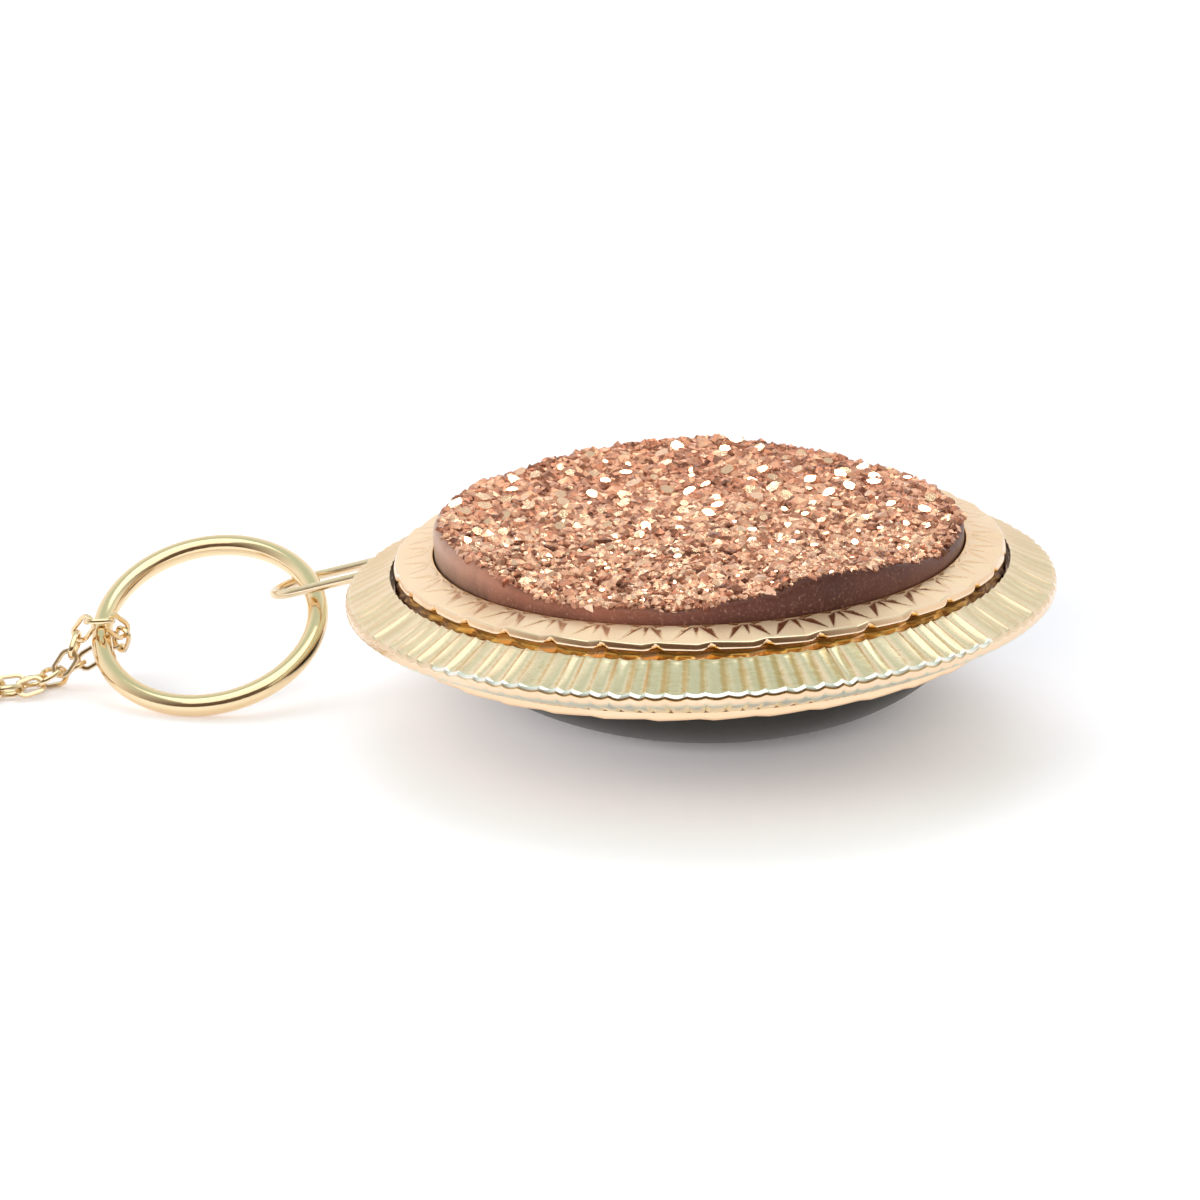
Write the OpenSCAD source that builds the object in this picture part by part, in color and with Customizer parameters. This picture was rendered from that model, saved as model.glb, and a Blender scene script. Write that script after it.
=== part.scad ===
// Round two-stone pendant on a fine cable chain, lying on its domed back.
// Millimetres, +Z up. The origin is the point of the surface that lies under
// the middle of the pendant, and the chain lies towards -X.

/* [Outer ring] */
// Radius of the outer ring
ring_r = 18; // [17.6:0.1:18.4]
// Height of the smooth band round its edge
band_h = 0.6; // [0.5:0.05:0.8]
// Width of the fluted slope with its lip
slope_w = 2.2; // [2:0.05:2.3]
// Rise of the fluted slope from the band to the lip
slope_rise = 1.05; // [0.8:0.05:1.2]
// Number of flutes on each face
flutes = 120; // [90:2:124]
// Depth of a flute where it meets the band
flute_depth = 0.17; // [0.05:0.01:0.22]

/* [Soldered loop] */
// Wire diameter of the loop that holds the bail ring
loop_wire = 0.5; // [0.4:0.05:0.6]
// Width of the loop between its wires' centres
loop_w = 3.1; // [2.95:0.05:3.2]
// How far the loop stands out of the ring
loop_reach = 5.4; // [5.3:0.1:5.5]
// Angle of the loop behind the ring's left end, degrees
loop_turn = 16.5; // [16.5:0.5:17]
// Droop of the loop, degrees
loop_droop = 16; // [15:1:17]
// Roll of the loop about its own length, degrees
loop_roll = 2; // [0:1:4]

/* [Bezel] */
// Open gap between the outer ring and the bezel
ring_gap = 0.3; // [0.2:0.05:0.4]
// Height of the bezel at the stones, top lip to bottom lip
bezel_h = 4.2; // [4:0.1:4.6]
// Fall of each flange from its inner lip to its outer edge
flange_fall = 0.2; // [0.1:0.05:0.4]
// Number of notches round the flange
notches = 36; // [24:2:40]
// Depth of a notch
notch_depth = 0.3; // [0.1:0.05:0.5]
// Thickness of the inner ledge between the stones
ledge_h = 1; // [0.8:0.1:1.4]
// Width of that ledge
ledge_w = 1.2; // [0.8:0.1:2]

/* [Stones] */
// Radius of the opening that the stones sit in
stone_r = 13.45; // [13:0.05:13.8]
// Clearance round each stone
stone_gap = 0.06; // [0.04:0.01:0.1]
// Height of the druzy stone's crust over the lip
crust_rise = 1.5; // [1.2:0.1:1.8]
// Roughness of the crust
crust_bump = 0.35; // [0:0.05:0.5]
// Depth of the dome under the middle of the bezel
dome_depth = 6.8; // [6.7:0.1:6.9]
// Sideways offset of the dome's lowest point
dome_shift = 1.2; // [1.1:0.1:1.3]

/* [Bail ring] */
// Radius of the bail ring's wire circle
bail_r = 5.65; // [5.6:0.05:5.7]
// Wire diameter of the bail ring
bail_wire = 1.1; // [1:0.05:1.15]
// Tilt of the bail ring, degrees
bail_tilt = 29.5; // [29:0.5:30.5]
// Turn of its high side from the far side towards the pendant, degrees
bail_turn = 14; // [12:1:16]

/* [Chain] */
// Thickness of the chain
chain_d = 0.95; // [0.8:0.05:1]
// Length of the loop that the chain lies in
lay_length = 147; // [120:1:170]
// Fullness of that loop
lay_full = 68; // [50:2:80]

/* [Hidden] */

pale_gold = "#e6cf9c";
rose_gold = "#dba66f";
druzy_brown = "#a8705a";
stone_grey = "#43484b";

// The pendant leans to its left until the dome's lowest point is under its middle
dome_w = stone_r;
dome_h = dome_depth - 1;
lean = atan(dome_shift * dome_h / (dome_w * dome_w));

lip_r = ring_r - slope_w;
lip_z = band_h / 2 + slope_rise;
lip_w = 0.15;
bezel_r = lip_r - ring_gap;
seat_gap = 0.06;
seat_h = 0.7;

// Point at a radius, an angle and a height
function polar(r, a, z) = [r * cos(a), r * sin(a), z];

// Even scatter from -1 to 1 for a pair of whole numbers
function scatter(i, k) = let (s = sin(i * 127.1 + k * 311.7) * 4375.85) 2 * (s - floor(s)) - 1;

// Point moved from the pendant's own frame to the frame of the surface
function lie(p, lift) = [p.x * cos(lean) - p.z * sin(lean), p.y, p.x * sin(lean) + p.z * cos(lean) + lift];

// Triangles of a ring of columns, each column a closed section of rows
function ring_faces(cols, rows) = [
    for (c = [0:cols - 1], r = [0:rows - 1])
        let (c2 = (c + 1) % cols, r2 = (r + 1) % rows)
        each [[c * rows + r, c * rows + r2, c2 * rows + r2],
              [c * rows + r, c2 * rows + r2, c2 * rows + r]]
];

// Triangles of a stack of rings with a point at its top and its bottom
function stack_faces(rings, cols) = concat(
    [for (c = [0:cols - 1]) [0, 1 + (c + 1) % cols, 1 + c]],
    [for (k = [0:rings - 2], c = [0:cols - 1])
        let (a = 1 + k * cols + c, b = 1 + k * cols + (c + 1) % cols)
        each [[a, b, b + cols], [a, b + cols, a + cols]]],
    [for (c = [0:cols - 1])
        let (k = 1 + (rings - 1) * cols)
        [k + c, k + (c + 1) % cols, 1 + rings * cols]]
);

// Back stone: its girdle, then rings of an ellipsoid that is sheared towards the offset
dome_cols = 40;
dome_rings = 11;
dome_top = -ledge_h / 2 - stone_gap;
function dome_point(s, c) =
    let (z = -1 - dome_h * sin(90 * s),
         r = min(stone_r - stone_gap, (dome_w - 0.05) * cos(90 * s)))
    polar(r, c * 360 / dome_cols, z) + [dome_shift * sin(90 * s), 0, 0];
dome_seat = asin((bezel_h / 2 - 0.9) / dome_h) / 90;
dome_s = [for (k = [0:dome_rings - 1]) dome_seat + (1 - dome_seat) * k / dome_rings];
dome_local = concat(
    [[0, 0, dome_top]],
    [for (z = [dome_top, -bezel_h / 2 + 0.3], c = [0:dome_cols - 1])
        polar(stone_r - stone_gap, c * 360 / dome_cols, z)],
    [for (s = dome_s, c = [0:dome_cols - 1]) dome_point(s, c)],
    [[dome_shift, 0, -dome_depth]]
);
// The dome's lowest point touches the surface
lift = -min([for (p = dome_local) lie(p, 0).z]);
dome_points = [for (p = dome_local) lie(p, lift)];

// Outer ring: section of one column, cut down by dip at the band's edges
function outer_section(dip) = [
    [ring_r - dip / 3, band_h / 2 - dip],
    [lip_r + lip_w, lip_z - dip / 4],
    [lip_r, lip_z],
    [lip_r, seat_h / 2],
    [bezel_r + seat_gap, seat_h / 2],
    [bezel_r + seat_gap, -seat_h / 2],
    [lip_r, -seat_h / 2],
    [lip_r, -lip_z],
    [lip_r + lip_w, dip / 4 - lip_z],
    [ring_r - dip / 3, dip - band_h / 2]
];

// Each flute has a crest column and a trough column, slightly uneven as hand cutting is
outer_points = [
    for (i = [0:2 * flutes - 1])
        let (a = (i + 0.18 * scatter(i, 1)) * 180 / flutes,
             dip = (i % 2) * flute_depth * (1 + 0.25 * scatter(i, 2)))
        for (p = outer_section(dip)) lie(polar(p[0], a, p[1]), lift)
];

// Bezel: section of one column, where cut is 1 in a notch and 0 between notches,
// and star raises or sinks the middle of the flange
flange_mid = (stone_r + bezel_r) / 2;
flange_z = bezel_h / 2 - flange_fall;
function bezel_section(cut, star) = [
    [bezel_r - cut * notch_depth, flange_z - 0.15],
    [bezel_r - 0.1 - cut * notch_depth, flange_z - cut * notch_depth / 2],
    [flange_mid, (bezel_h / 2 + flange_z) / 2 + star],
    [stone_r, bezel_h / 2],
    [stone_r, ledge_h / 2],
    [stone_r - ledge_w, ledge_h / 2],
    [stone_r - ledge_w, -ledge_h / 2],
    [stone_r, -ledge_h / 2],
    [stone_r, -bezel_h / 2],
    [flange_mid, -(bezel_h / 2 + flange_z) / 2 - star],
    [bezel_r - 0.1 - cut * notch_depth, cut * notch_depth / 2 - flange_z],
    [bezel_r - cut * notch_depth, 0.15 - flange_z]
];

// Six columns to a notch: its bottom, its two sides, and the plain stretch between
notch_cols = 6;
star_depth = 0.06;
bezel_points = [
    for (i = [0:notches * notch_cols - 1])
        let (k = i % notch_cols,
             offset = [0, 0.22, 0.3, 0.5, 0.7, 0.78],
             a = (floor(i / notch_cols) + offset[k]) * 360 / notches,
             cut = k == 0 ? 1 : 0,
             star = k % 2 == 0 ? star_depth : -star_depth)
        for (p = bezel_section(cut, star)) lie(polar(p[0], a, p[1]), lift)
];

// Druzy stone: height of its rim over the bezel's lip, going round from +X
rim_table = [[0, 1.25], [45, 1.3], [90, 2.3], [135, 1.75], [180, 1.4],
    [225, 1.1], [270, 1.2], [315, 2.1], [360, 1.25]];
druzy_r = stone_r - stone_gap;
crust_rings = 16;
rim_cols = 6 * crust_rings;
crust_r = druzy_r - 0.75;
function rim_height(a) = bezel_h / 2 + lookup(a, rim_table);
// Height of the crust at a share s of its radius, rising or falling to the rim
function crust_base(s, a) =
    (bezel_h / 2 + crust_rise + 0.2 * s * sin(2 * a + 40)) * (1 - s * s * s) + rim_height(a) * s * s * s;
// The crust's points stand in rings of 6, 12, 18 and so on, scattered up and down as crystals are
function crust_point(k, j) =
    let (s = k / crust_rings, a = j * 60 / k, edge = k == crust_rings ? 0.4 : 1)
    polar(crust_r * s + 0.25 * edge * scatter(j + 40 * k, 4), a + 14 / k * edge * scatter(j + 40 * k, 5),
          crust_base(s, a) + edge * crust_bump * scatter(j + 40 * k, 3));
druzy_points = concat(
    [lie([0, 0, crust_base(0, 0)], lift)],
    [for (k = [1:crust_rings], j = [0:6 * k - 1]) lie(crust_point(k, j), lift)],
    [for (j = [0:rim_cols - 1])
        let (a = j * 360 / rim_cols)
        lie(polar(druzy_r - 0.2, a, rim_height(a) - 0.5), lift)],
    [for (z = [bezel_h / 2 + 0.2, ledge_h / 2 + stone_gap], j = [0:rim_cols - 1])
        lie(polar(druzy_r, j * 360 / rim_cols, z), lift)],
    [lie([0, 0, ledge_h / 2 + stone_gap], lift)]
);
// Place in the list of point j of ring k, counting on round the ring
function crust_id(k, j) = k == 0 ? 0 : 1 + 3 * k * (k - 1) + j % (6 * k);
druzy_faces = concat(
    [for (k = [1:crust_rings], side = [0:5], j = [0:k - 1])
        [crust_id(k - 1, side * (k - 1) + j), crust_id(k, side * k + j + 1), crust_id(k, side * k + j)]],
    [for (k = [2:crust_rings], side = [0:5], j = [0:k - 2])
        let (inner = side * (k - 1) + j)
        [crust_id(k - 1, inner), crust_id(k - 1, inner + 1), crust_id(k, side * k + j + 1)]],
    [for (w = [0:2], j = [0:rim_cols - 1])
        let (top = crust_id(crust_rings, 0) + w * rim_cols,
             p = top + j,
             q = top + (j + 1) % rim_cols)
        each [[p, q, q + rim_cols], [p, q + rim_cols, p + rim_cols]]],
    [for (j = [0:rim_cols - 1])
        let (base = crust_id(crust_rings, 0) + 3 * rim_cols)
        [base + j, base + (j + 1) % rim_cols, base + rim_cols]]
);

// The bail ring's lowest point touches the surface
bail_at = [-25.25, 4.3, bail_wire / 2 + bail_r * sin(bail_tilt)];

// Chain: it turns round the bail ring's wire at this angle of the ring
turn_at = 194;
turn_r = (bail_wire + chain_d) / 2 + 0.12;
function bail_turned(v) =
    [v.x * cos(bail_turn) + v.y * sin(bail_turn), v.y * cos(bail_turn) - v.x * sin(bail_turn), v.z];
turn_out = bail_turned([cos(turn_at), sin(turn_at) * cos(bail_tilt), sin(turn_at) * sin(bail_tilt)]);
turn_up = bail_turned([0, -sin(bail_tilt), cos(bail_tilt)]);
function turn_point(a) = bail_at + bail_r * turn_out + turn_r * (cos(a) * turn_up - sin(a) * turn_out);

// Chain: route points from the turn down to the surface, chosen by hand
near_down = [[-32.2, 3.5, 2.2], [-32.5, 3.3, 1.7], [-32.9, 3.1, 1.2], [-33.5, 2.8, 0.8], [-34.4, 2.3, 0.5],
    [-36, 1.7, 0.5], [-38, 1.6, 0.5]];
far_down = [[-31.5, 4.9, 1.4], [-32, 4.7, 1], [-32.7, 4.4, 0.6], [-33.8, 3.8, 0.5], [-35, 3.2, 0.5],
    [-36.3, 2.9, 0.5], [-38, 2.8, 0.5]];
route_y = 2.2;
route_half = 0.6;
route_z = 0.5;
lay_x = -38;
lay_steps = 27;
// Plain clasp: a ring with an eye at each side, at the far end of the loop
clasp_r = 2.2;
clasp_wire = 1.1;
eye_r = 0.6;
eye_wire = 0.4;
clasp_reach = clasp_r + clasp_wire / 2 + 2 * eye_r + eye_wire / 2;
lay_end = 180 - asin((clasp_reach + 0.1 - route_half) / lay_full);
// One side of the drop-shaped loop, side is -1 for the near half and 1 for the far half
function lay_point(a, side) = [
    lay_x - lay_length * (1 - cos(a)) / 2,
    route_y + side * (route_half + lay_full * sin(a) * sin(a / 2)),
    route_z
];
function lay_points(side) = [
    for (k = [0:lay_steps - 1]) lay_point(12 + (lay_end - 12) * k / (lay_steps - 1), side)
];
near_route = concat([for (a = [90:-22.5:-67.5]) turn_point(a)], near_down, lay_points(-1));
far_route = concat([for (a = [90:22.5:202.5]) turn_point(a)], far_down, lay_points(1));

function unit(v) = v / norm(v);
// Both halves start in the middle of the turn, one going up and one going down
function heading(route, i) =
    i == 0 ? unit(turn_up * sign((route[1] - route[0]) * turn_up))
    : unit(route[min(i + 1, len(route) - 1)] - route[i - 1]);
// Side direction carried along the route without twist
function carried(route) = [
    for (i = 0, n = unit(cross(heading(route, 0), turn_out)); i < len(route);
         i = i + 1,
         n = i < len(route) ? unit(n - (n * heading(route, i)) * heading(route, i)) : n) n
];

// Tube of the chain's thickness along a route
tube_sides = 8;
module tube(route, d) {
    sides = carried(route);
    rings = len(route);
    points = [
        for (i = [0:rings - 1])
            let (u = sides[i], v = cross(heading(route, i), u))
            for (k = [0:tube_sides - 1])
                let (a = (k + 0.5) * 360 / tube_sides)
                route[i] + d / 2 * (cos(a) * u + sin(a) * v)
    ];
    walls = [
        for (i = [0:rings - 2], k = [0:tube_sides - 1])
            let (a = i * tube_sides + k, b = i * tube_sides + (k + 1) % tube_sides)
            each [[a, b, b + tube_sides], [a, b + tube_sides, a + tube_sides]]
    ];
    ends = [
        for (k = [1:tube_sides - 2])
            let (last = (rings - 1) * tube_sides)
            each [[0, k + 1, k], [last, last + k, last + k + 1]]
    ];
    polyhedron(points, concat(walls, ends));
}

// Ring of round wire lying in the XY plane
module wire_ring(r, wire, sweep = 360) {
    rotate_extrude(angle = sweep, $fn = 72)
        translate([r, 0]) circle(d = wire, $fn = 24);
}

// Wire loop with two straight legs along +X from the origin and a round far end
module wire_loop(reach, w, wire) {
    leg = reach - w / 2 - wire / 2;
    translate([leg, 0, 0]) rotate([0, 0, -90]) wire_ring(w / 2, wire, 180);
    for (side = [-1, 1])
        translate([0, side * w / 2, 0]) rotate([0, 90, 0]) cylinder(d = wire, h = leg, $fn = 24);
}

// Fluted ring with its soldered loop
module outer_ring() {
    color(pale_gold) {
        polyhedron(outer_points, ring_faces(2 * flutes, 10));
        translate([0, 0, lift]) rotate([0, -lean, 0])
            rotate([0, 0, 180 - loop_turn]) translate([ring_r - 0.3, 0, 0])
            rotate([0, loop_droop, 0]) rotate([loop_roll, 0, 0])
            wire_loop(loop_reach + 0.3, loop_w, loop_wire);
    }
}

// Notched and star-cut setting with the ledge that carries both stones
module bezel() {
    color(rose_gold) polyhedron(bezel_points, ring_faces(notches * notch_cols, 12));
}

// Crystal-crusted stone with a smooth side wall
module druzy_stone() {
    color(druzy_brown) polyhedron(druzy_points, druzy_faces);
}

// Polished dome that the pendant lies on
module back_stone() {
    color(stone_grey) polyhedron(dome_points, stack_faces(dome_rings + 2, dome_cols));
}

// Plain round ring between the loop and the chain
module bail_ring() {
    color(pale_gold)
        translate(bail_at) rotate([0, 0, -bail_turn]) rotate([bail_tilt, 0, 0])
        wire_ring(bail_r, bail_wire);
}

// Half of the chain on the side towards -Y
module chain_near() {
    color(pale_gold) tube(near_route, chain_d);
}

// Half of the chain on the side towards +Y
module chain_far() {
    color(pale_gold) tube(far_route, chain_d);
}

// Ring with two eyes that closes the chain's two ends
module clasp() {
    color(pale_gold)
        translate([lay_point(lay_end, 1).x, route_y, clasp_wire / 2]) {
            wire_ring(clasp_r, clasp_wire);
            for (side = [-1, 1])
                translate([0, side * (clasp_r + clasp_wire / 2 + eye_r), 0]) wire_ring(eye_r, eye_wire);
        }
}

outer_ring();
bezel();
druzy_stone();
back_stone();
bail_ring();
chain_near();
chain_far();
clasp();
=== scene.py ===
"""Looks of a round two-stone pendant that lies on its domed back, with its bail ring and fine chain."""

import logging
import math
from dataclasses import dataclass
from enum import Enum
from typing import Iterator, Sequence, Union

import bpy
import numpy as np
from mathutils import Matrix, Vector


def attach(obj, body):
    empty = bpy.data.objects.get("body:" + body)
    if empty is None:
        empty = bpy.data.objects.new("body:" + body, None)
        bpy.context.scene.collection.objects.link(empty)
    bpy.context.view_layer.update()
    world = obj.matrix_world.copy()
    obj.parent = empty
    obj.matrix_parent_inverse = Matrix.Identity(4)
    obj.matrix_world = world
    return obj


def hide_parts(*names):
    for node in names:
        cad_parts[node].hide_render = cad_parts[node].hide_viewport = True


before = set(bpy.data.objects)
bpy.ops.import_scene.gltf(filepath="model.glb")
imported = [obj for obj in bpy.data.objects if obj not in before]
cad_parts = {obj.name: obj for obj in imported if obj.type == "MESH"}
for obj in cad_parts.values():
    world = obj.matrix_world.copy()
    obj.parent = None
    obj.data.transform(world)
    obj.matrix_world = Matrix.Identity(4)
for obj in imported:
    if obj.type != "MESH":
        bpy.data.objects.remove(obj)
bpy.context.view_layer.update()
LOG = logging.getLogger("pendant")
MM = 0.001

Value = Union["Wire", float, Sequence[float]]
Triple = tuple[float, float, float]
Stops = Sequence[tuple[float, Triple]]
Number = Union[float, np.ndarray]
Row = tuple[Number, ...]
Faces = list[tuple[int, ...]]
Shape = tuple[np.ndarray, Faces]
Marks = dict[str, np.ndarray]


# Shader maths


class Wire:
    """A value that flows out of a shader node, with arithmetic on it."""

    def __init__(self, bench: "Bench", socket: bpy.types.NodeSocket) -> None:
        """Keeps the socket and the bench that its nodes stand on."""
        self.bench = bench
        self.socket = socket

    def _math(self, operation: str, left: Value, right: Value) -> "Wire":
        """The result of a new Math node."""
        return self.bench.add("ShaderNodeMath", {"operation": operation}, {0: left, 1: right})

    def __add__(self, other: Value) -> "Wire":
        """This value plus another."""
        return self._math("ADD", self, other)

    def __radd__(self, other: Value) -> "Wire":
        """Another value plus this one."""
        return self._math("ADD", other, self)

    def __sub__(self, other: Value) -> "Wire":
        """This value less another."""
        return self._math("SUBTRACT", self, other)

    def __rsub__(self, other: Value) -> "Wire":
        """Another value less this one."""
        return self._math("SUBTRACT", other, self)

    def __mul__(self, other: Value) -> "Wire":
        """This value times another."""
        return self._math("MULTIPLY", self, other)

    def __rmul__(self, other: Value) -> "Wire":
        """Another value times this one."""
        return self._math("MULTIPLY", other, self)

    def __pow__(self, other: Value) -> "Wire":
        """This value to the power of another."""
        return self._math("POWER", self, other)

    def __rpow__(self, other: Value) -> "Wire":
        """Another value to the power of this one."""
        return self._math("POWER", other, self)


class Bench:
    """The node tree of one material or of the world, which its nodes are added to."""

    def __init__(self, tree: bpy.types.NodeTree) -> None:
        """Empties the tree and keeps it."""
        tree.nodes.clear()
        self.tree = tree

    def add(self, kind: str, settings: dict[str, object] | None = None,
            values: dict[int | str, Value] | None = None, output: int | str = 0) -> Wire:
        """Adds one node, sets it and feeds its sockets.

        Args:
            kind: The node's type.
            settings: Properties of the node, with a colour ramp's stops under "stops".
            values: A number, colour or wire for each named or numbered socket.
            output: The output to hand back.

        Returns:
            The chosen output.
        """
        node = self.tree.nodes.new(kind)
        for key, setting in (settings or {}).items():
            if key == "stops":
                self._set_stops(node.color_ramp, setting)
            else:
                setattr(node, key, setting)
        for key, value in (values or {}).items():
            socket = node.inputs[key]
            if isinstance(value, Wire):
                self.tree.links.new(value.socket, socket)
            else:
                socket.default_value = (*value, 1.0) if socket.type == "RGBA" else value
        return Wire(self, node.outputs[output] if len(node.outputs) else None)

    @staticmethod
    def _set_stops(ramp: bpy.types.ColorRamp, stops: Stops) -> None:
        """Gives a colour ramp its stops.

        Args:
            ramp: The ramp.
            stops: Place and colour of each stop, in order.
        """
        while len(ramp.elements) < len(stops):
            ramp.elements.new(1.0)
        for element, (place, colour) in zip(ramp.elements, stops):
            element.position = place
            element.color = (*colour, 1.0)

    def place(self) -> Wire:
        """The point of the surface, in the object's own metres."""
        return self.add("ShaderNodeTexCoord", output="Object")

    def mark(self, name: str) -> Wire:
        """The value that the mesh carries under a name."""
        return self.add("ShaderNodeAttribute", {"attribute_name": name}, output="Fac")

    def axis(self, vector: Wire, name: str) -> Wire:
        """The X, Y or Z of a vector."""
        return self.add("ShaderNodeSeparateXYZ", {}, {0: vector}, output=name)

    def progress(self, axis: str, low_mm: float, high_mm: float) -> Wire:
        """The way of the surface's point from one place on an axis to another, from 0 to 1."""
        return self.add("ShaderNodeMapRange", {}, {
            "Value": self.axis(self.place(), axis), "From Min": low_mm * MM, "From Max": high_mm * MM})

    def noise(self, size_mm: float, detail: float = 2.0, stretch: Triple = (1, 1, 1)) -> Wire:
        """A soft random pattern from 0 to 1.

        Args:
            size_mm: Size of its blotches.
            detail: Number of finer layers.
            stretch: Stretch of the pattern along each axis.

        Returns:
            The pattern's value.
        """
        spread = self.add("ShaderNodeVectorMath", {"operation": "MULTIPLY"},
                          {0: self.place(), 1: [1 / s for s in stretch]})
        return self.add("ShaderNodeTexNoise", {},
                        {"Vector": spread, "Scale": 1 / (size_mm * MM), "Detail": detail})

    def ramp(self, value: Wire, stops: Stops) -> Wire:
        """A colour that a value picks from stops."""
        return self.add("ShaderNodeValToRGB", {"stops": stops}, {0: value})

    def pick(self, value: Wire, tones: Sequence[Triple]) -> Wire:
        """A colour that a value from 0 to 1 picks from evenly spaced tones."""
        return self.ramp(value, [(k / (len(tones) - 1), tone) for k, tone in enumerate(tones)])

    def mix(self, share: Value, first: Value, second: Value, blend: str = "MIX") -> Wire:
        """A colour between two colours.

        Args:
            share: Share of the second colour.
            first: The first colour.
            second: The second colour.
            blend: The way they are blended.

        Returns:
            The mixed colour.
        """
        return self.add("ShaderNodeMix", {"data_type": "RGBA", "blend_type": blend},
                        {0: share, 6: first, 7: second}, output=2)

    def bump(self, height: Wire, depth_mm: float, strength: float) -> Wire:
        """The surface's normal, tipped by a height from 0 to 1 over a relief of a given depth."""
        return self.add("ShaderNodeBump", {},
                        {"Height": height, "Distance": depth_mm * MM, "Strength": strength})

    def surface(self, values: dict[str, Value]) -> None:
        """Ends the tree in one Principled surface with these values in its sockets."""
        shader = self.add("ShaderNodeBsdfPrincipled", {}, values)
        self.add("ShaderNodeOutputMaterial", {}, {"Surface": shader})


def new_bench(name: str) -> tuple[bpy.types.Material, Bench]:
    """Makes an empty material.

    Args:
        name: The material's name.

    Returns:
        The material and the bench of its nodes.
    """
    material = bpy.data.materials.new(name)
    material.use_nodes = True
    return material, Bench(material.node_tree)


# Finishes


@dataclass(frozen=True)
class GoldPlate:
    """Gold plate with faint clouds and fine polishing lines.

    A mesh says with its "satin" values where the plate is satin, and with a second value which tone
    it has: the plate's own tones, or tones that paint light into the colour, such as a white painted
    highlight, a painted reflection of the shaded floor, and tan, amber and brown painted reflections of
    gold and of a dark room, down to painted shade.
    """

    name: str
    tones: tuple[Triple, ...]
    cloud: Triple
    shine: float
    haze: float
    line_depth_mm: float
    cloud_mm: float = 2.6
    speck_mm: float = 0.16
    line_mm: float = 0.09

    def material(self) -> bpy.types.Material:
        """Builds the plate's material.

        Returns:
            The material.
        """
        material, bench = new_bench(self.name)
        satin, deep = bench.mark("satin"), bench.mark("deep")
        clouds, specks = bench.noise(self.cloud_mm, 3.0), bench.noise(self.speck_mm)
        lines = bench.noise(self.line_mm, 1.0, (6, 6, 1))
        # The tone value picks the plate's own tones or a painted highlight, painted reflections and painted
        # shade
        tone = bench.pick(deep + (clouds - 0.5) * 0.12 + (lines - 0.5) * deep * 0.5, self.tones)
        bench.surface({
            "Base Color": bench.mix(clouds * 0.5 + specks * 0.3, tone, self.cloud, "MULTIPLY"),
            "Metallic": 1 - satin * 0.27,
            "Roughness": self.shine + clouds * self.haze + specks ** 3 * self.haze + satin * 0.3,
            "Normal": bench.bump(lines + clouds * 0.6, self.line_depth_mm, 0.35),
        })
        return material


@dataclass(frozen=True)
class CrystalCoat:
    """Metal vapour coat on quartz crystals, each crystal a little lighter or darker."""

    name: str
    tones: tuple[Triple, ...]
    grain_mm: float = 0.12

    def material(self) -> bpy.types.Material:
        """Builds the coat's material from each crystal's own tint.

        Returns:
            The material.
        """
        material, bench = new_bench(self.name)
        tint, grain = bench.mark("tint"), bench.noise(self.grain_mm)
        bench.surface({
            # The tint holds each crystal's own tone and the painted shade that its place gives it
            "Base Color": bench.pick(tint * 0.86 + grain * 0.14, self.tones),
            "Metallic": 0.85,
            "Roughness": 0.3 - tint ** 4 * 0.24 + grain * 0.08,
            "Normal": bench.bump(grain, 0.004, 0.4),
        })
        return material


@dataclass(frozen=True)
class SatinSkin:
    """Smooth coated side of the crystal stone, with faint upright streaks and pinholes.

    Its tones are painted light and shade: a painted reflection, pale, at the stone's left side, mostly
    darker tones towards its right, and painted shade that darkens each towards the foot.
    """

    name: str
    tones: tuple[Triple, ...]
    foot: Triple
    pinhole: Triple
    half_mm: float
    low_mm: float
    high_mm: float
    streak_mm: float = 0.5
    blotch_mm: float = 2.2
    pinhole_mm: float = 0.14

    def material(self) -> bpy.types.Material:
        """Builds the skin's material.

        Returns:
            The material.
        """
        material, bench = new_bench(self.name)
        rise = bench.progress("Z", self.low_mm, self.high_mm)
        along = bench.progress("X", -self.half_mm, self.half_mm)
        streaks = bench.noise(self.streak_mm, 3.0, (1, 1, 5))
        blotches, pits = bench.noise(self.blotch_mm, 3.0), bench.noise(self.pinhole_mm)
        # Painted reflection and shade: pale at the left side, mostly darker towards the right
        top = bench.pick(along ** 0.6 + (blotches - 0.5) * 0.1, self.tones)
        # Painted shade: darker towards the foot, broken up by the streaks and blotches
        shade = bench.mix(rise * 0.8 + streaks * 0.4 + blotches * 0.5 - 0.3, self.foot, top)
        bench.surface({
            "Base Color": bench.mix((pits ** 9) * 3.0, shade, self.pinhole),
            "Metallic": 0.25,
            "Roughness": 0.27 + streaks * 0.2,
            "Specular IOR Level": 0.25,
            "Normal": bench.bump(streaks + pits * 0.3, 0.03, 0.5),
        })
        return material


@dataclass(frozen=True)
class PolishedStone:
    """Polished dark stone with soft grey clouds and a few paler flecks."""

    name: str
    dark: Triple
    pale: Triple
    cloud_mm: float = 3.5
    fleck_mm: float = 0.35

    def material(self) -> bpy.types.Material:
        """Builds the stone's material.

        Returns:
            The material.
        """
        material, bench = new_bench(self.name)
        clouds, flecks = bench.noise(self.cloud_mm, 5.0), bench.noise(self.fleck_mm)
        bench.surface({
            "Base Color": bench.mix(clouds * 0.8 + (flecks ** 4) * 1.2, self.dark, self.pale),
            "Roughness": 0.26 + clouds * 0.1,
            "Normal": bench.bump(clouds, 0.01, 0.25),
            "Specular IOR Level": 0.13,
        })
        return material


@dataclass(frozen=True)
class PalePaper:
    """Matt pale paper of the floor."""

    name: str
    tone: Triple
    fleck: Triple
    grain_mm: float = 1.5

    def material(self) -> bpy.types.Material:
        """Builds the paper's material.

        Returns:
            The material.
        """
        material, bench = new_bench(self.name)
        grain = bench.noise(self.grain_mm, 3.0)
        bench.surface({"Base Color": bench.mix(grain * 0.1, self.tone, self.fleck), "Roughness": 0.75})
        return material


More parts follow.
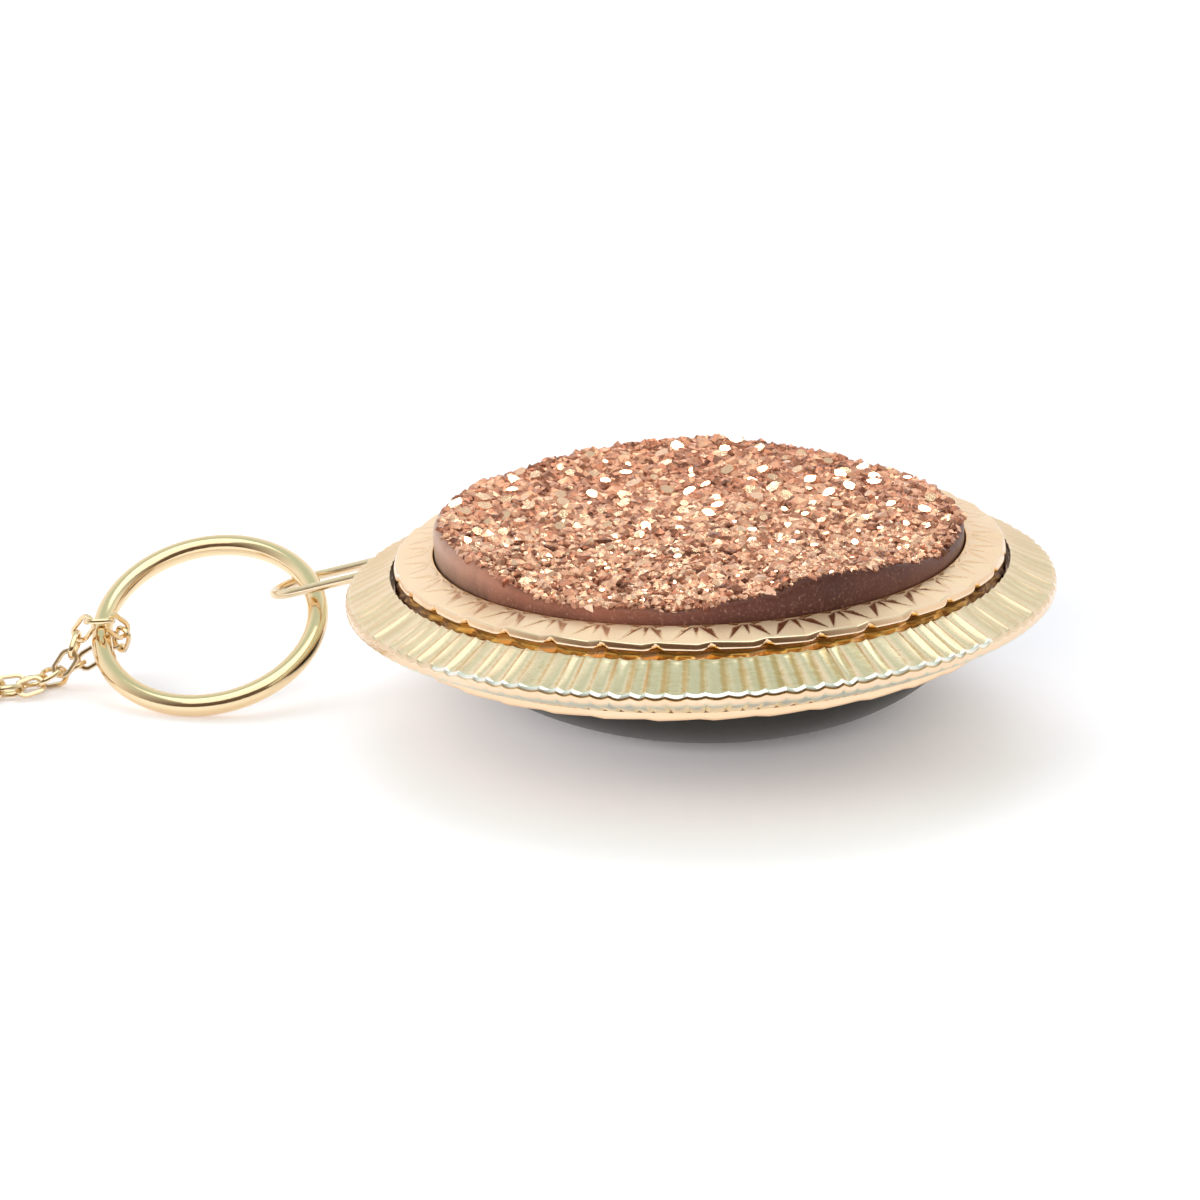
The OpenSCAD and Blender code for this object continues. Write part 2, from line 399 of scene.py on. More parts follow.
class Finish(Enum):
    """The finishes of the pendant, its chain and the floor."""

    # Tones in order: a painted highlight, a painted reflection of the shaded floor, the plate's own peach and
    # pale gold, then painted reflections of gold and of a dark room in tan and amber, down to painted shade
    # in brown
    PALE_GOLD = GoldPlate("pale_gold_plate", (
        (1.0, 0.99, 0.95), (0.79, 0.87, 0.72), (0.87, 0.65, 0.46), (0.92, 0.775, 0.57), (0.76, 0.56, 0.31),
        (0.7, 0.46, 0.22), (0.66, 0.38, 0.14), (0.4, 0.22, 0.09), (0.2, 0.11, 0.05)),
        (0.92, 0.88, 0.8), 0.12, 0.1, 0.004)
    # Tones in order: the plate's own, then painted reflections of gold in gold in tan and amber, and painted
    # shade in dark brown
    ROSE_GOLD = GoldPlate("warm_gold_plate", (
        (0.97, 0.77, 0.57), (0.9, 0.56, 0.3), (1.0, 0.57, 0.14), (0.18, 0.07, 0.02)),
        (0.93, 0.88, 0.8), 0.1, 0.08, 0.004)
    # Its first tone is the plate's own; the later ones are painted reflection and shade tones
    FINE_GOLD = GoldPlate("bright_gold_wire", (
        (0.94, 0.75, 0.49), (0.78, 0.54, 0.3), (0.7, 0.38, 0.1), (0.2, 0.1, 0.03)),
        (0.92, 0.88, 0.8), 0.1, 0.06, 0.002)
    CRYSTAL = CrystalCoat("coated_crystal", (
        (0.07, 0.025, 0.015), (0.37, 0.15, 0.092), (0.53, 0.285, 0.188), (0.66, 0.4, 0.28),
        (0.88, 0.58, 0.41)))
    # Tones of painted light and shade, from a pale painted reflection at the left to dark at the right; the
    # second colour is painted shade at the foot
    SKIN = SatinSkin("coated_side", (
        (0.41, 0.255, 0.19), (0.29, 0.15, 0.105), (0.21, 0.078, 0.048), (0.19, 0.066, 0.041),
        (0.08, 0.027, 0.019), (0.05, 0.018, 0.013), (0.13, 0.05, 0.036)),
        (0.02, 0.008, 0.006), (0.6, 0.34, 0.24), 13.4, 8.5, 9.7)
    STONE = PolishedStone("dark_polished_stone", (0.005, 0.0049, 0.0042), (0.021, 0.0205, 0.017))
    PAPER = PalePaper("pale_floor", (0.95, 0.932, 0.975), (0.92, 0.9, 0.94))

    def material(self) -> bpy.types.Material:
        """The finish's material, made the first time it is asked for."""
        return bpy.data.materials.get(self.value.name) or self.value.material()


# Shaping in mesh


def between(value: Number, low: float, high: float) -> Number:
    """The way that a value has gone from low to high, held between 0 and 1."""
    return np.clip((value - low) / (high - low), 0, 1)


def bell(angle_deg: Number, middle: float, width: float) -> Number:
    """A soft hump of height 1 about one angle."""
    return np.exp(-((angle_deg - middle) / width) ** 2)


def polar(radius: Number, angle_deg: np.ndarray, height: Number) -> np.ndarray:
    """Points at radii, angles and heights, which are single numbers or fit together as tables.

    Args:
        radius: Distance from the upright axis.
        angle_deg: Angle round it.
        height: Height.

    Returns:
        Rows of x, y and z.
    """
    turn = np.radians(angle_deg)
    across = np.broadcast_arrays(radius * np.cos(turn), radius * np.sin(turn), height)
    return np.stack(across, axis=-1).reshape(-1, 3)


def turned(points: np.ndarray, angle: float, axis: int) -> np.ndarray:
    """Points turned about one axis.

    Args:
        points: One point, or rows of x, y and z.
        angle: The angle in radians.
        axis: 0, 1 or 2 for x, y or z.

    Returns:
        The turned points.
    """
    a, b = (axis + 1) % 3, (axis + 2) % 3
    c, s = math.cos(angle), math.sin(angle)
    result = points.copy()
    result[..., a] = points[..., a] * c - points[..., b] * s
    result[..., b] = points[..., a] * s + points[..., b] * c
    return result


def tables(rows: Sequence[Row], columns: int) -> list[np.ndarray]:
    """Sorts a shape's rows into one table for each value that a row holds.

    Args:
        rows: The rows, each value one number or a number for every column.
        columns: Number of columns.

    Returns:
        The tables, with a line for each column.
    """
    return [np.stack([np.broadcast_to(value, columns) for value in values], axis=1)
            for values in zip(*rows)]


def closed_rows(upper: Sequence[Row], lower: Sequence[Row]) -> list[Row]:
    """Joins the halves of a section that starts and ends at its outer middle.

    Args:
        upper: Radius, height and further values of each row, from the outer middle to the inner one.
        lower: The same for the lower half, whose heights count downwards.

    Returns:
        The rows of the whole section.
    """
    return [*upper, *((radius, -height, *rest) for radius, height, *rest in lower[:0:-1])]


def wound_outwards(points: np.ndarray, faces: Faces) -> Faces:
    """Turns a closed shape's faces so that they look outwards.

    Args:
        points: The corners, one row each.
        faces: The faces, as corner numbers.

    Returns:
        The faces, all turned round if they looked inwards.
    """
    volume = 0.0
    for face in faces:
        a, b, c = points[face[0]], points[face[1]], points[face[-1]]
        volume += float(np.dot(a, np.cross(b, c)))
        if len(face) == 4:
            volume += float(np.dot(b, np.cross(points[face[2]], c)))
    return faces if volume > 0 else flipped(faces)


def flipped(faces: Faces) -> Faces:
    """The faces, each turned round."""
    return [tuple(reversed(face)) for face in faces]


def band_faces(columns: int, rows: int, rows_closed: bool) -> Faces:
    """Faces of a band of columns that goes all the way round.

    Args:
        columns: Number of columns round the band.
        rows: Points in each column.
        rows_closed: Whether a column's last point joins its first.

    Returns:
        The four-cornered faces.
    """
    steps = rows if rows_closed else rows - 1
    return [
        (c * rows + r, ((c + 1) % columns) * rows + r,
         ((c + 1) % columns) * rows + (r + 1) % rows, c * rows + (r + 1) % rows)
        for c in range(columns) for r in range(steps)
    ]


def swept_tube(path: np.ndarray, radius: float, sides: int) -> Shape:
    """A round wire with closed ends along a path.

    Args:
        path: Points of the wire's middle line.
        radius: Radius of the wire.
        sides: Number of sides round the wire.

    Returns:
        The corners and the faces.
    """
    heading = np.gradient(path, axis=0)
    heading /= np.linalg.norm(heading, axis=1, keepdims=True)
    turn = np.arange(sides) * 2 * np.pi / sides
    side = np.cross(heading[0], (0.3, 0.2, 0.93))
    rings = []
    for point, ahead in zip(path, heading):
        side = side - side.dot(ahead) * ahead
        side /= np.linalg.norm(side)
        across = np.cross(ahead, side)
        rings.append(point + radius * (np.outer(np.cos(turn), side) + np.outer(np.sin(turn), across)))
    last = (len(path) - 1) * sides
    faces: Faces = [(k + j, k + (j + 1) % sides, k + sides + (j + 1) % sides, k + sides + j)
                    for k in range(0, last, sides) for j in range(sides)]
    faces += [tuple(reversed(range(sides))), tuple(range(last, last + sides))]
    return np.vstack(rings), faces


def raise_piece(name: str, parts: Sequence[Shape], finish: Finish, sharp_deg: float,
                stands_for: Sequence[str], marks: Marks | None = None) -> bpy.types.Object:
    """Makes one object of closed shapes, dressed and riding on the pendant.

    Args:
        name: The object's name.
        parts: Corners in millimetres and faces of each closed shape.
        finish: The finish of them all.
        sharp_deg: Edges that turn by more than this stay sharp.
        stands_for: The plain solids that it takes the place of.
        marks: A value for every corner, under each name that the finish asks for.

    Returns:
        The object.
    """
    points: list[np.ndarray] = []
    faces: Faces = []
    count = 0
    for shape_points, shape_faces in parts:
        points.append(shape_points)
        faces += [tuple(i + count for i in face) for face in shape_faces]
        count += len(shape_points)
    mesh = bpy.data.meshes.new(name)
    mesh.from_pydata((np.vstack(points) * MM).tolist(), [], faces)
    mesh.polygons.foreach_set("use_smooth", [True] * len(mesh.polygons))
    mesh.set_sharp_from_angle(angle=math.radians(sharp_deg))
    mesh.materials.append(finish.material())
    for mark, values in (marks or {}).items():
        mesh.attributes.new(mark, "FLOAT", "POINT").data.foreach_set("value", values)
    piece = bpy.data.objects.new(name, mesh)
    bpy.context.scene.collection.objects.link(piece)
    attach(piece, "root")
    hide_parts(*stands_for)
    return piece


# The sizes that the pieces share, and the pose


@dataclass(frozen=True)
class Setting:
    """Main sizes that the ring, the setting and the stones share, and how they lie, in millimetres."""

    ring_r: float = 18.0
    band_h: float = 0.6
    slope_w: float = 2.2
    slope_rise: float = 1.05
    ring_gap: float = 0.3
    bezel_h: float = 4.2
    flange_fall: float = 0.2
    ledge_h: float = 1.0
    ledge_w: float = 1.2
    stone_r: float = 13.45
    stone_gap: float = 0.06
    dome_depth: float = 6.8
    dome_top: float = 1.0
    dome_shift: float = 1.2

    @property
    def lip_r(self) -> float:
        """Radius of the outer ring's opening."""
        return self.ring_r - self.slope_w

    @property
    def bezel_r(self) -> float:
        """Outer radius of the setting."""
        return self.lip_r - self.ring_gap

    @property
    def girth_r(self) -> float:
        """Radius of both stones where they sit in the setting."""
        return self.stone_r - self.stone_gap

    @property
    def dome_h(self) -> float:
        """Depth of the dome under its widest circle."""
        return self.dome_depth - self.dome_top

    @property
    def lean(self) -> float:
        """Angle of the pendant's lean to its left, in radians."""
        return math.atan(self.dome_shift * self.dome_h / self.stone_r ** 2)

    def dome_ring(self, share: float, columns: int) -> np.ndarray:
        """One ring of the dome, from its widest circle at 0 to its lowest point at 1.

        Args:
            share: How far down the ring lies.
            columns: Number of points in it.

        Returns:
            The ring's points, before the pendant is laid down.
        """
        turn = math.pi / 2 * share
        down = math.sin(turn)
        radius = min(self.girth_r, (self.stone_r - 0.05) * math.cos(turn))
        ring = polar(radius, np.arange(columns) * 360 / columns, -self.dome_top - self.dome_h * down)
        return ring + np.array([self.dome_shift * down, 0, 0])

    @property
    def lift(self) -> float:
        """Height of the pendant's middle when the dome's lowest point touches the floor."""
        ring = np.vstack([self.dome_ring(s, 40) for s in np.linspace(0.75, 1, 60)])
        return -float(turned(ring, -self.lean, 1)[:, 2].min())

    def lay(self, points: np.ndarray) -> np.ndarray:
        """Points of the pendant's own upright frame, moved to where it lies on the floor."""
        return turned(points, -self.lean, 1) + np.array([0, 0, self.lift])


# Outer ring


@dataclass
class OuterRing:
    """Fluted ring round the setting, with the soldered loop that holds the bail ring.

    Its tone values pick the plate's tones, and much of it is painted light: a painted white highlight
    along the crest at the front with a painted dark reflection under it, painted shade on one side of
    each flute and in the gap inside the lip, and a painted reflection of the shaded floor underneath.
    The angles at which tones and polish change, in degrees anticlockwise from the right, follow the
    reflections that the photograph shows.
    """

    setting: Setting
    flutes: int = 120
    steps: int = 12
    uneven: float = 0.15
    uneven_depth: float = 0.3
    flute_depth: float = 0.15
    flute_shape: float = 1.7
    lobe_depth: float = 0.22
    lobe_shape: int = 4
    edge_r: float = 0.36
    low_edge_r: float = 0.25
    end_share: float = 0.5
    sag_share: float = 0.35
    low_edge_share: float = 0.45
    edge_share: float = 0.75
    rim_w: float = 0.12
    lip_in: float = 0.12
    lip_h: float = 0.04
    seat_h: float = 0.7
    seat_gap: float = 0.07
    slope_stations: tuple[float, ...] = (0.04, 0.12, 0.22, 0.34, 0.46, 0.58, 0.7, 0.8, 0.88, 0.94, 1.0)
    lip_round: tuple[tuple[float, float], ...] = ((0.065, 0.9), (0.035, 0.75), (0.012, 0.45))
    loop_wire: float = 0.5
    loop_w: float = 3.1
    loop_reach: float = 5.4
    loop_root: float = 0.3
    loop_start: float = -0.2
    loop_sides: int = 18
    loop_turn: float = 16.5
    loop_droop: float = 16.0
    loop_roll: float = 2.0
    # Angles, in degrees, that place the painted highlight and the painted dark line under it, the polish, and
    # the painted shade on the flutes' sides
    front: tuple[float, float] = (272, 42)
    right: tuple[float, float] = (285, 310)
    left: tuple[float, float] = (262, 237)
    far_end: float = 92
    end_satin: float = 0.45

    # Rows of the section, counted from the band's middle over the top and back underneath
    EDGE_ROW = 2
    ARC_ROWS = 8
    FOOT_ROWS = slice(3, 5)
    CREST_ROWS = slice(5, 9)
    SLOPE_ROWS = slice(9, 22)
    FLUTE_ROWS = slice(10, 21)
    INNER_ROWS = slice(24, 28)
    UNDER_ROWS = slice(35, 50)

    # Places of the pale plate's tones: white is a painted highlight, sage a painted reflection of the shaded
    # floor, brown painted shade, and peach and pale are the plate's own tones
    PAINTED_HIGHLIGHT = 0.0
    SAGE = 0.125
    PEACH = 0.25
    PALE = 0.375
    PAINTED_GAP_SHADE = 1.0

    def _half_section(self, scoop: np.ndarray, edge_r: float, edge_share: float) -> list[Row]:
        """One half of every column, from the band's middle over the edge, slope and lip to the seat.

        Args:
            scoop: Depth of the flute at each column, at its deepest.
            edge_r: Radius of the band's edge.
            edge_share: Share of the flute's depth at that edge.

        Returns:
            Radius and height of each row.
        """
        s = self.setting
        lip_r, seat_r = s.lip_r - self.lip_in, s.bezel_r + self.seat_gap
        run = s.ring_r - lip_r - self.rim_w
        slope = math.atan2(s.slope_rise, run)
        out, up = math.sin(slope), math.cos(slope)
        edge_z = s.band_h / 2 - edge_r * (up - (1 - out) * math.tan(slope)) - scoop * edge_share / up
        # The band's own two rows get their heights once both halves are joined
        rows: list[Row] = [(s.ring_r, 0.0)] * self.EDGE_ROW
        for turn in np.linspace(0, math.pi / 2 - slope, self.ARC_ROWS):
            rows.append((s.ring_r - edge_r + edge_r * math.cos(turn), edge_z + edge_r * math.sin(turn)))
        start_r, start_z = rows[-1]
        end_r = s.ring_r - run - out * scoop * self.end_share
        end_z = s.band_h / 2 + s.slope_rise - up * scoop * self.end_share
        for share in self.slope_stations:
            sag = scoop * self.sag_share * math.sin(math.pi * share) ** 0.6
            rows.append((start_r + (end_r - start_r) * share - out * sag,
                         start_z + (end_z - start_z) * share - up * sag))
        for step, keep in self.lip_round:
            rows.append((lip_r + step, end_z + (end_r - lip_r - step) * math.tan(slope) * keep))
        return rows + [(lip_r, end_z - self.lip_h), (lip_r, self.seat_h / 2),
                       (seat_r, self.seat_h / 2), (seat_r, self.seat_h / 2 - 0.05)]

    def _painted_tones(self, angles: np.ndarray, place: np.ndarray, rows: int) -> Marks:
        """Tone and polish of every corner of the ring.

        Args:
            angles: Angle of each column, in degrees.
            place: Place of each column in its flute, from -1 over 0 in its middle to 1.
            rows: Number of rows in a column.

        Returns:
            The tones and how satin the plate is.
        """
        front = bell(angles, *self.front)
        right = np.where(angles > self.far_end, between(angles, *self.right), 1)
        left = np.where(angles > self.far_end, between(angles, *self.left), 0)
        # Painted shade: one side of a flute is painted darker than the other, as the light falls on it, and
        # which one changes between the ring's ends
        painted_flank_shade = (between(place, 0.3, 0.65) * 0.2 * (1 - 1.6 * right - 0.65 * left)
                 + between(-place, 0.6, 0.9) * 0.1 * (1 - left) - between(-place, 0.3, 0.65) * 0.12 * left)
        deep, satin = np.full((len(angles), rows), self.PEACH), np.zeros((len(angles), rows))
        # Painted reflection of the dark room: a dark line under the crest at the front
        deep[:, self.FOOT_ROWS] += np.outer(front, (0.55, 0.42))
        # Painted highlight: white along the crest at the front
        deep[:, self.CREST_ROWS] = np.where(front > 0.25, self.PAINTED_HIGHLIGHT, 0.3)[:, None]
        deep[:, self.SLOPE_ROWS] = self.PALE
        deep[:, self.FLUTE_ROWS] += painted_flank_shade[:, None]
        # Painted shade in the gap inside the lip
        deep[:, self.INNER_ROWS] = self.PAINTED_GAP_SHADE
        # Painted reflection of the shaded floor, on the ring's underside
        deep[:, self.UNDER_ROWS] = self.SAGE
        satin[:, self.SLOPE_ROWS] = self.end_satin * (1 - front)[:, None]
        return {"deep": deep.ravel(), "satin": satin.ravel()}

    def _body(self) -> tuple[np.ndarray, Faces, Marks]:
        """The fluted ring without its loop.

        Returns:
            Its corners, its faces and the marks of its finish.
        """
        rng = np.random.default_rng(11)
        crests = np.arange(self.flutes) + rng.uniform(-self.uneven, self.uneven, self.flutes)
        ahead = np.append(crests[1:], crests[0] + self.flutes)
        part = np.arange(self.steps) / self.steps
        angles = (crests[:, None] + (ahead - crests)[:, None] * part).ravel() * 360 / self.flutes
        skew = rng.uniform(-self.uneven, self.uneven, self.flutes)[:, None]
        place = np.clip(2 * part - 1 + skew * np.sin(np.pi * part), -1, 1)
        depth = (1 + rng.uniform(-self.uneven_depth, self.uneven_depth, self.flutes))[:, None]
        flute = (self.flute_depth * depth * (1 - np.abs(place) ** self.flute_shape)).ravel()
        lobe = (self.lobe_depth * depth * np.abs(place) ** self.lobe_shape).ravel()
        rows = closed_rows(self._half_section(flute, self.edge_r, self.edge_share),
                           self._half_section(lobe, self.low_edge_r, self.low_edge_share))
        radii, heights = tables(rows, len(angles))
        top, low = heights[:, self.EDGE_ROW], heights[:, -self.EDGE_ROW]
        middle = (top + low) / 2
        heights[:, 0], heights[:, 1], heights[:, -1] = middle, (middle + top) / 2, (middle + low) / 2
        marks = self._painted_tones(angles, place.ravel(), len(rows))
        return polar(radii, angles[:, None], heights), band_faces(len(angles), len(rows), True), marks

    def _loop(self) -> Shape:
        """The soldered loop of wire, as it stands out of the ring.

        Returns:
            Its corners and faces.
        """
        half, turn = self.loop_w / 2, np.radians(np.linspace(-90, 90, 25))
        leg = self.loop_reach + self.loop_root - half - self.loop_wire / 2
        along = np.linspace(self.loop_start, leg, 14)[:-1]
        x = np.concatenate([along, leg + half * np.cos(turn), along[::-1]])
        y = np.concatenate([0 * along - half, half * np.sin(turn), 0 * along + half])
        path = np.stack([x, y, np.zeros(len(x))], axis=1)
        points, faces = swept_tube(path, self.loop_wire / 2, self.loop_sides)
        points = turned(turned(points, math.radians(self.loop_roll), 0), math.radians(self.loop_droop), 1)
        points[:, 0] += self.setting.ring_r - self.loop_root
        return turned(points, math.radians(180 - self.loop_turn), 2), faces

    def build(self) -> list[bpy.types.Object]:
        """Builds the ring and its loop as one piece of soldered metal.

        Returns:
            The piece, in a list of its own.
        """
        body, body_faces, marks = self._body()
        loop, loop_faces = self._loop()
        parts = [(self.setting.lay(body), wound_outwards(body, body_faces)),
                 (self.setting.lay(loop), wound_outwards(loop, loop_faces))]
        plain = {"deep": self.PALE, "satin": 0.0}
        marks = {name: np.append(values, np.full(len(loop), plain[name])) for name, values in marks.items()}
        return [raise_piece("fluted_ring", parts, Finish.PALE_GOLD, 26, ["outer_ring"], marks)]


# Bezel


@dataclass
class Bezel:
    """Setting between the ring and the stones, with cut stars on its flanges and gouges in its wall.

    A facet is a triangle in millimetres, across the star's middle line and out from the stone. The
    upper wall's rows hold the drop under the flange's edge, the radius and the tone, and the lower
    wall's rows the height below the middle, the radius and the tone. Most of these tones are painted
    light and shade: amber painted reflections on the wall, dark brown painted shade deep in the gap,
    a lit and a shaded side to each gouge, painted shade at the seat and the ledge, and painted
    reflections in the cut stars.
    """

    setting: Setting
    cells: int = 36
    steps: int = 40
    star_turn: float = 8.3
    low_star_turn: float = 12.3
    gouge_turn: float = 1.2
    gouge_depth: float = 0.26
    gouge_w: float = 0.66
    gouge_h: float = 0.55
    # Painted light and shade: the tones of each gouge's lit side and of its shaded side
    gouge_lit_and_shaded_tones: tuple[float, float] = (0.42, 0.82)
    dip: float = 0.12
    dip_long: float = 0.75
    edge_r: float = 15.29
    low_edge_r: float = 15.3
    circles: int = 27
    low_circles: int = 9
    waist_r: float = 15.45
    waist_h: float = 0.9
    flange_up: float = 0.22
    facet_depth: float = 0.035
    facet_slope: float = 0.12
    facet_edge: float = 0.05
    # Painted reflection: the cut facets of the stars are painted darker and browner
    facet_painted_reflection: float = 0.16
    facets: tuple[tuple[tuple[float, float], ...], ...] = (
        ((-0.04, 0.1), (-0.72, 0.44), (-1.14, 1.9)), ((0.08, 0.1), (1.14, 1.9), (0.8, 0.4)),
        ((-0.16, 0.16), (0.1, 1.6), (0.18, 0.16)), ((-0.2, 0.06), (-1.1, 0.06), (-0.45, 0.3)),
        ((0.22, 0.06), (0.5, 0.3), (1.15, 0.06)))
    # Third values of the wall's rows: painted reflection tones, amber, and painted shade, dark brown deep in
    # the gap
    wall: tuple[Triple, ...] = (
        (1.04, 15.4, 0.95), (0.94, 15.28, 0.9), (0.85, 15.19, 0.84), (0.77, 15.15, 0.76), (0.7, 15.16, 0.69),
        (0.63, 15.2, 0.64), (0.57, 15.26, 0.6), (0.51, 15.33, 0.54), (0.46, 15.4, 0.44), (0.42, 15.45, 0.26),
        (0.38, 15.47, 0.1), (0.33, 15.47, 0.05), (0.27, 15.458, 0.12), (0.18, 15.43, 0.16),
        (0.1, 15.404, 0.14), (0.05, 15.378, 0.02), (0.02, 15.345, 0.0))
    # Third values: painted shade, darkest in the gap at the middle, and painted reflections towards the
    # flange
    low_wall: tuple[Triple, ...] = (
        (0.0, 15.45, 1.0), (0.9, 15.42, 1.0), (1.15, 15.32, 0.9), (1.3, 15.36, 0.7), (1.38, 15.44, 0.3),
        (1.46, 15.47, 0.12), (1.78, 15.47, 0.14), (1.86, 15.44, 0.16), (1.9, 15.38, 0.18))
    flange_tone: float = 0.05
    # Painted shade: a dark line where the flange meets the stone
    seat_painted_shade: float = 0.5
    seat_from: float = 0.965
    foot_at: float = 0.44
    # Painted shade: the lower wall darkens away from the front
    far_painted_shade: float = 0.85
    front: tuple[float, float] = (272, 50)
    front_shine: float = 0.75
    keen_from: tuple[float, float] = (240, 276)
    dull: float = 0.64
    far_end: float = 110

    def _cuts(self, radius: float, x: np.ndarray) -> np.ndarray:
        """How far inside a cut facet of a star each column lies on one circle of the flange.

        Args:
            radius: Radius of the circle.
            x: Distance of each column from the star's middle line, in millimetres.

        Returns:
            The distance from the facet's nearest edge in millimetres, or 0 outside every facet.
        """
        y = radius - self.setting.stone_r
        inside = np.zeros_like(x)
        for corners in self.facets:
            edges = list(zip(corners, corners[1:] + corners[:1]))
            area = sum(ax * by - bx * ay for (ax, ay), (bx, by) in edges)
            depth = np.full_like(x, np.inf)
            for (ax, ay), (bx, by) in edges:
                across = ((bx - ax) * (y - ay) - (by - ay) * (x - ax)) / math.hypot(bx - ax, by - ay)
                depth = np.minimum(depth, across * math.copysign(1, area))
            inside = np.maximum(inside, depth)
        return inside

    def _edge_dip(self, gouge: np.ndarray) -> np.ndarray:
        """How far the flange's edge sinks between gouges: slowly to one side and steeply to the other."""
        share = (gouge / (2 * math.pi * self.setting.bezel_r / self.cells)) % 1.0
        return self.dip * np.minimum(share / self.dip_long, (1 - share) / (1 - self.dip_long))

    def _flange(self, star: np.ndarray, dip: np.ndarray, edge: tuple[float, float], circles: int,
                fade: float) -> Iterator[tuple[float, float, np.ndarray, np.ndarray]]:
        """The circles of a flange, from its edge to the stone.

        Args:
            star: Distance of each column from the nearest star's middle line, in millimetres.
            dip: How far each column sinks at the edge.
            edge: Radius and height of the edge.
            circles: Number of circles.
            fade: How soon the dip fades on the way in.

        Yields:
            Radius, share of the way in, heights, and how fully each column lies in a facet.
        """
        s, (start, edge_z) = self.setting, edge
        for radius in np.linspace(start, s.stone_r + 0.04, circles):
            share = (start - radius) / (start - s.stone_r)
            inside = self._cuts(float(radius), star)
            height = (edge_z + s.flange_fall * share - dip * max(0.0, 1 - share * fade)
                      - self.facet_depth * between(inside, 0, self.facet_slope))
            yield radius, share, height, between(inside, 0, self.facet_edge)

    def _ledge(self, top: float, tone: float) -> list[Row]:
        """The wall inside one flange and half of the ledge that carries the stones.

        Args:
            top: Height of the flange at the stone.
            tone: Tone of the plate there.

        Returns:
            Radius, height, how satin the plate is and its tone, for each row.
        """
        s = self.setting
        inner, ledge_z = s.stone_r - s.ledge_w, s.ledge_h / 2
        return [(r, z, 0.0, tone) for r, z in
                ((s.stone_r, top - 0.04), (s.stone_r, ledge_z), (inner, ledge_z), (inner, 0.2))]

    def _upper(self, star: np.ndarray, gouge: np.ndarray, side: np.ndarray, keen: np.ndarray) -> list[Row]:
        """The upper half of every column, from the wall's middle to the ledge's.

        Args:
            star: Distance of each column from the nearest star's middle line, in millimetres.
            gouge: Distance of each column from the nearest gouge's middle line, in millimetres.
            side: How satin the wall is at each column, which also sets how far its painted shade reaches.
            keen: How strongly the stars' painted reflection and satin show at each column.

        Returns:
            Radius, height, how satin the plate is and its tone, for each row.
        """
        s = self.setting
        edge_z = s.bezel_h / 2 - s.flange_fall + self.flange_up
        dip, apart = self._edge_dip(gouge), np.abs(gouge)
        # The lower wall darkens away from the front, as painted shade
        far = between(side, 0.5, 0.9) * self.far_painted_shade
        # Painted light and shade on the gouges: one side lit, the other shaded, and lighter along the crest
        lit = np.where(gouge < 0, *self.gouge_lit_and_shaded_tones) - 0.15 * np.clip(1 - apart / 0.1, 0, 1)
        # Painted shade at the waist, deep in the gap
        rows: list[Row] = [(self.waist_r, 0.0, 0.0, 1.0), (self.waist_r, self.waist_h, 0.0, 1.0)]
        for drop, r, dark in self.wall:
            reach, foot = max(0.0, drop - 0.1) / self.gouge_h, drop > self.foot_at
            inside = np.clip(1 - apart / (0.03 + self.gouge_w * reach), 0, 1)
            shade = dark + (lit - dark) * (np.clip(inside * 12, 0, 1) * (0.2 < drop < 0.95))
            rows.append((r - self.gouge_depth * min(1.0, reach) * inside,
                         edge_z - drop - dip * max(0.0, 1 - drop / 0.9),
                         side * foot, shade + (1 - shade) * far * foot))
        for radius, share, height, facet in self._flange(star, dip, (self.edge_r, edge_z), self.circles, 1.6):
            # Painted reflection on the cut stars, and painted shade at the seat
            facet, seat = facet * keen, self.seat_painted_shade * (share > self.seat_from)
            tone = self.flange_tone + facet * self.facet_painted_reflection + seat
            rows.append((radius, height, (1 - facet) * (1 - seat), tone))
        # Painted shade on the ledge by the stone
        return rows + self._ledge(edge_z + s.flange_fall, 0.9)

    def _lower(self, star: np.ndarray, gouge: np.ndarray) -> list[Row]:
        """The lower half of every column, with its heights counted downwards.

        Args:
            star: Distance of each column from the nearest star's middle line, in millimetres.
            gouge: Distance of each column from the nearest gouge's middle line, in millimetres.

        Returns:
            Radius, height, how satin the plate is and its tone, for each row.
        """
        s = self.setting
        edge_z, dip = s.bezel_h / 2 - s.flange_fall, self._edge_dip(gouge) * 0.7
        # Painted shade deep in the gap, from the lower wall's table
        rows: list[Row] = [(r, z - dip * (z > 1.5), 0.0, dark) for z, r, dark in self.low_wall]
        rows += [(radius, height, 1 - facet, self.flange_tone) for radius, _, height, facet
                 in self._flange(star, dip, (self.low_edge_r, edge_z), self.low_circles, 2.0)]
        # Painted shade on the ledge by the stone, half as dark as above
        return rows + self._ledge(edge_z + s.flange_fall, 0.5)

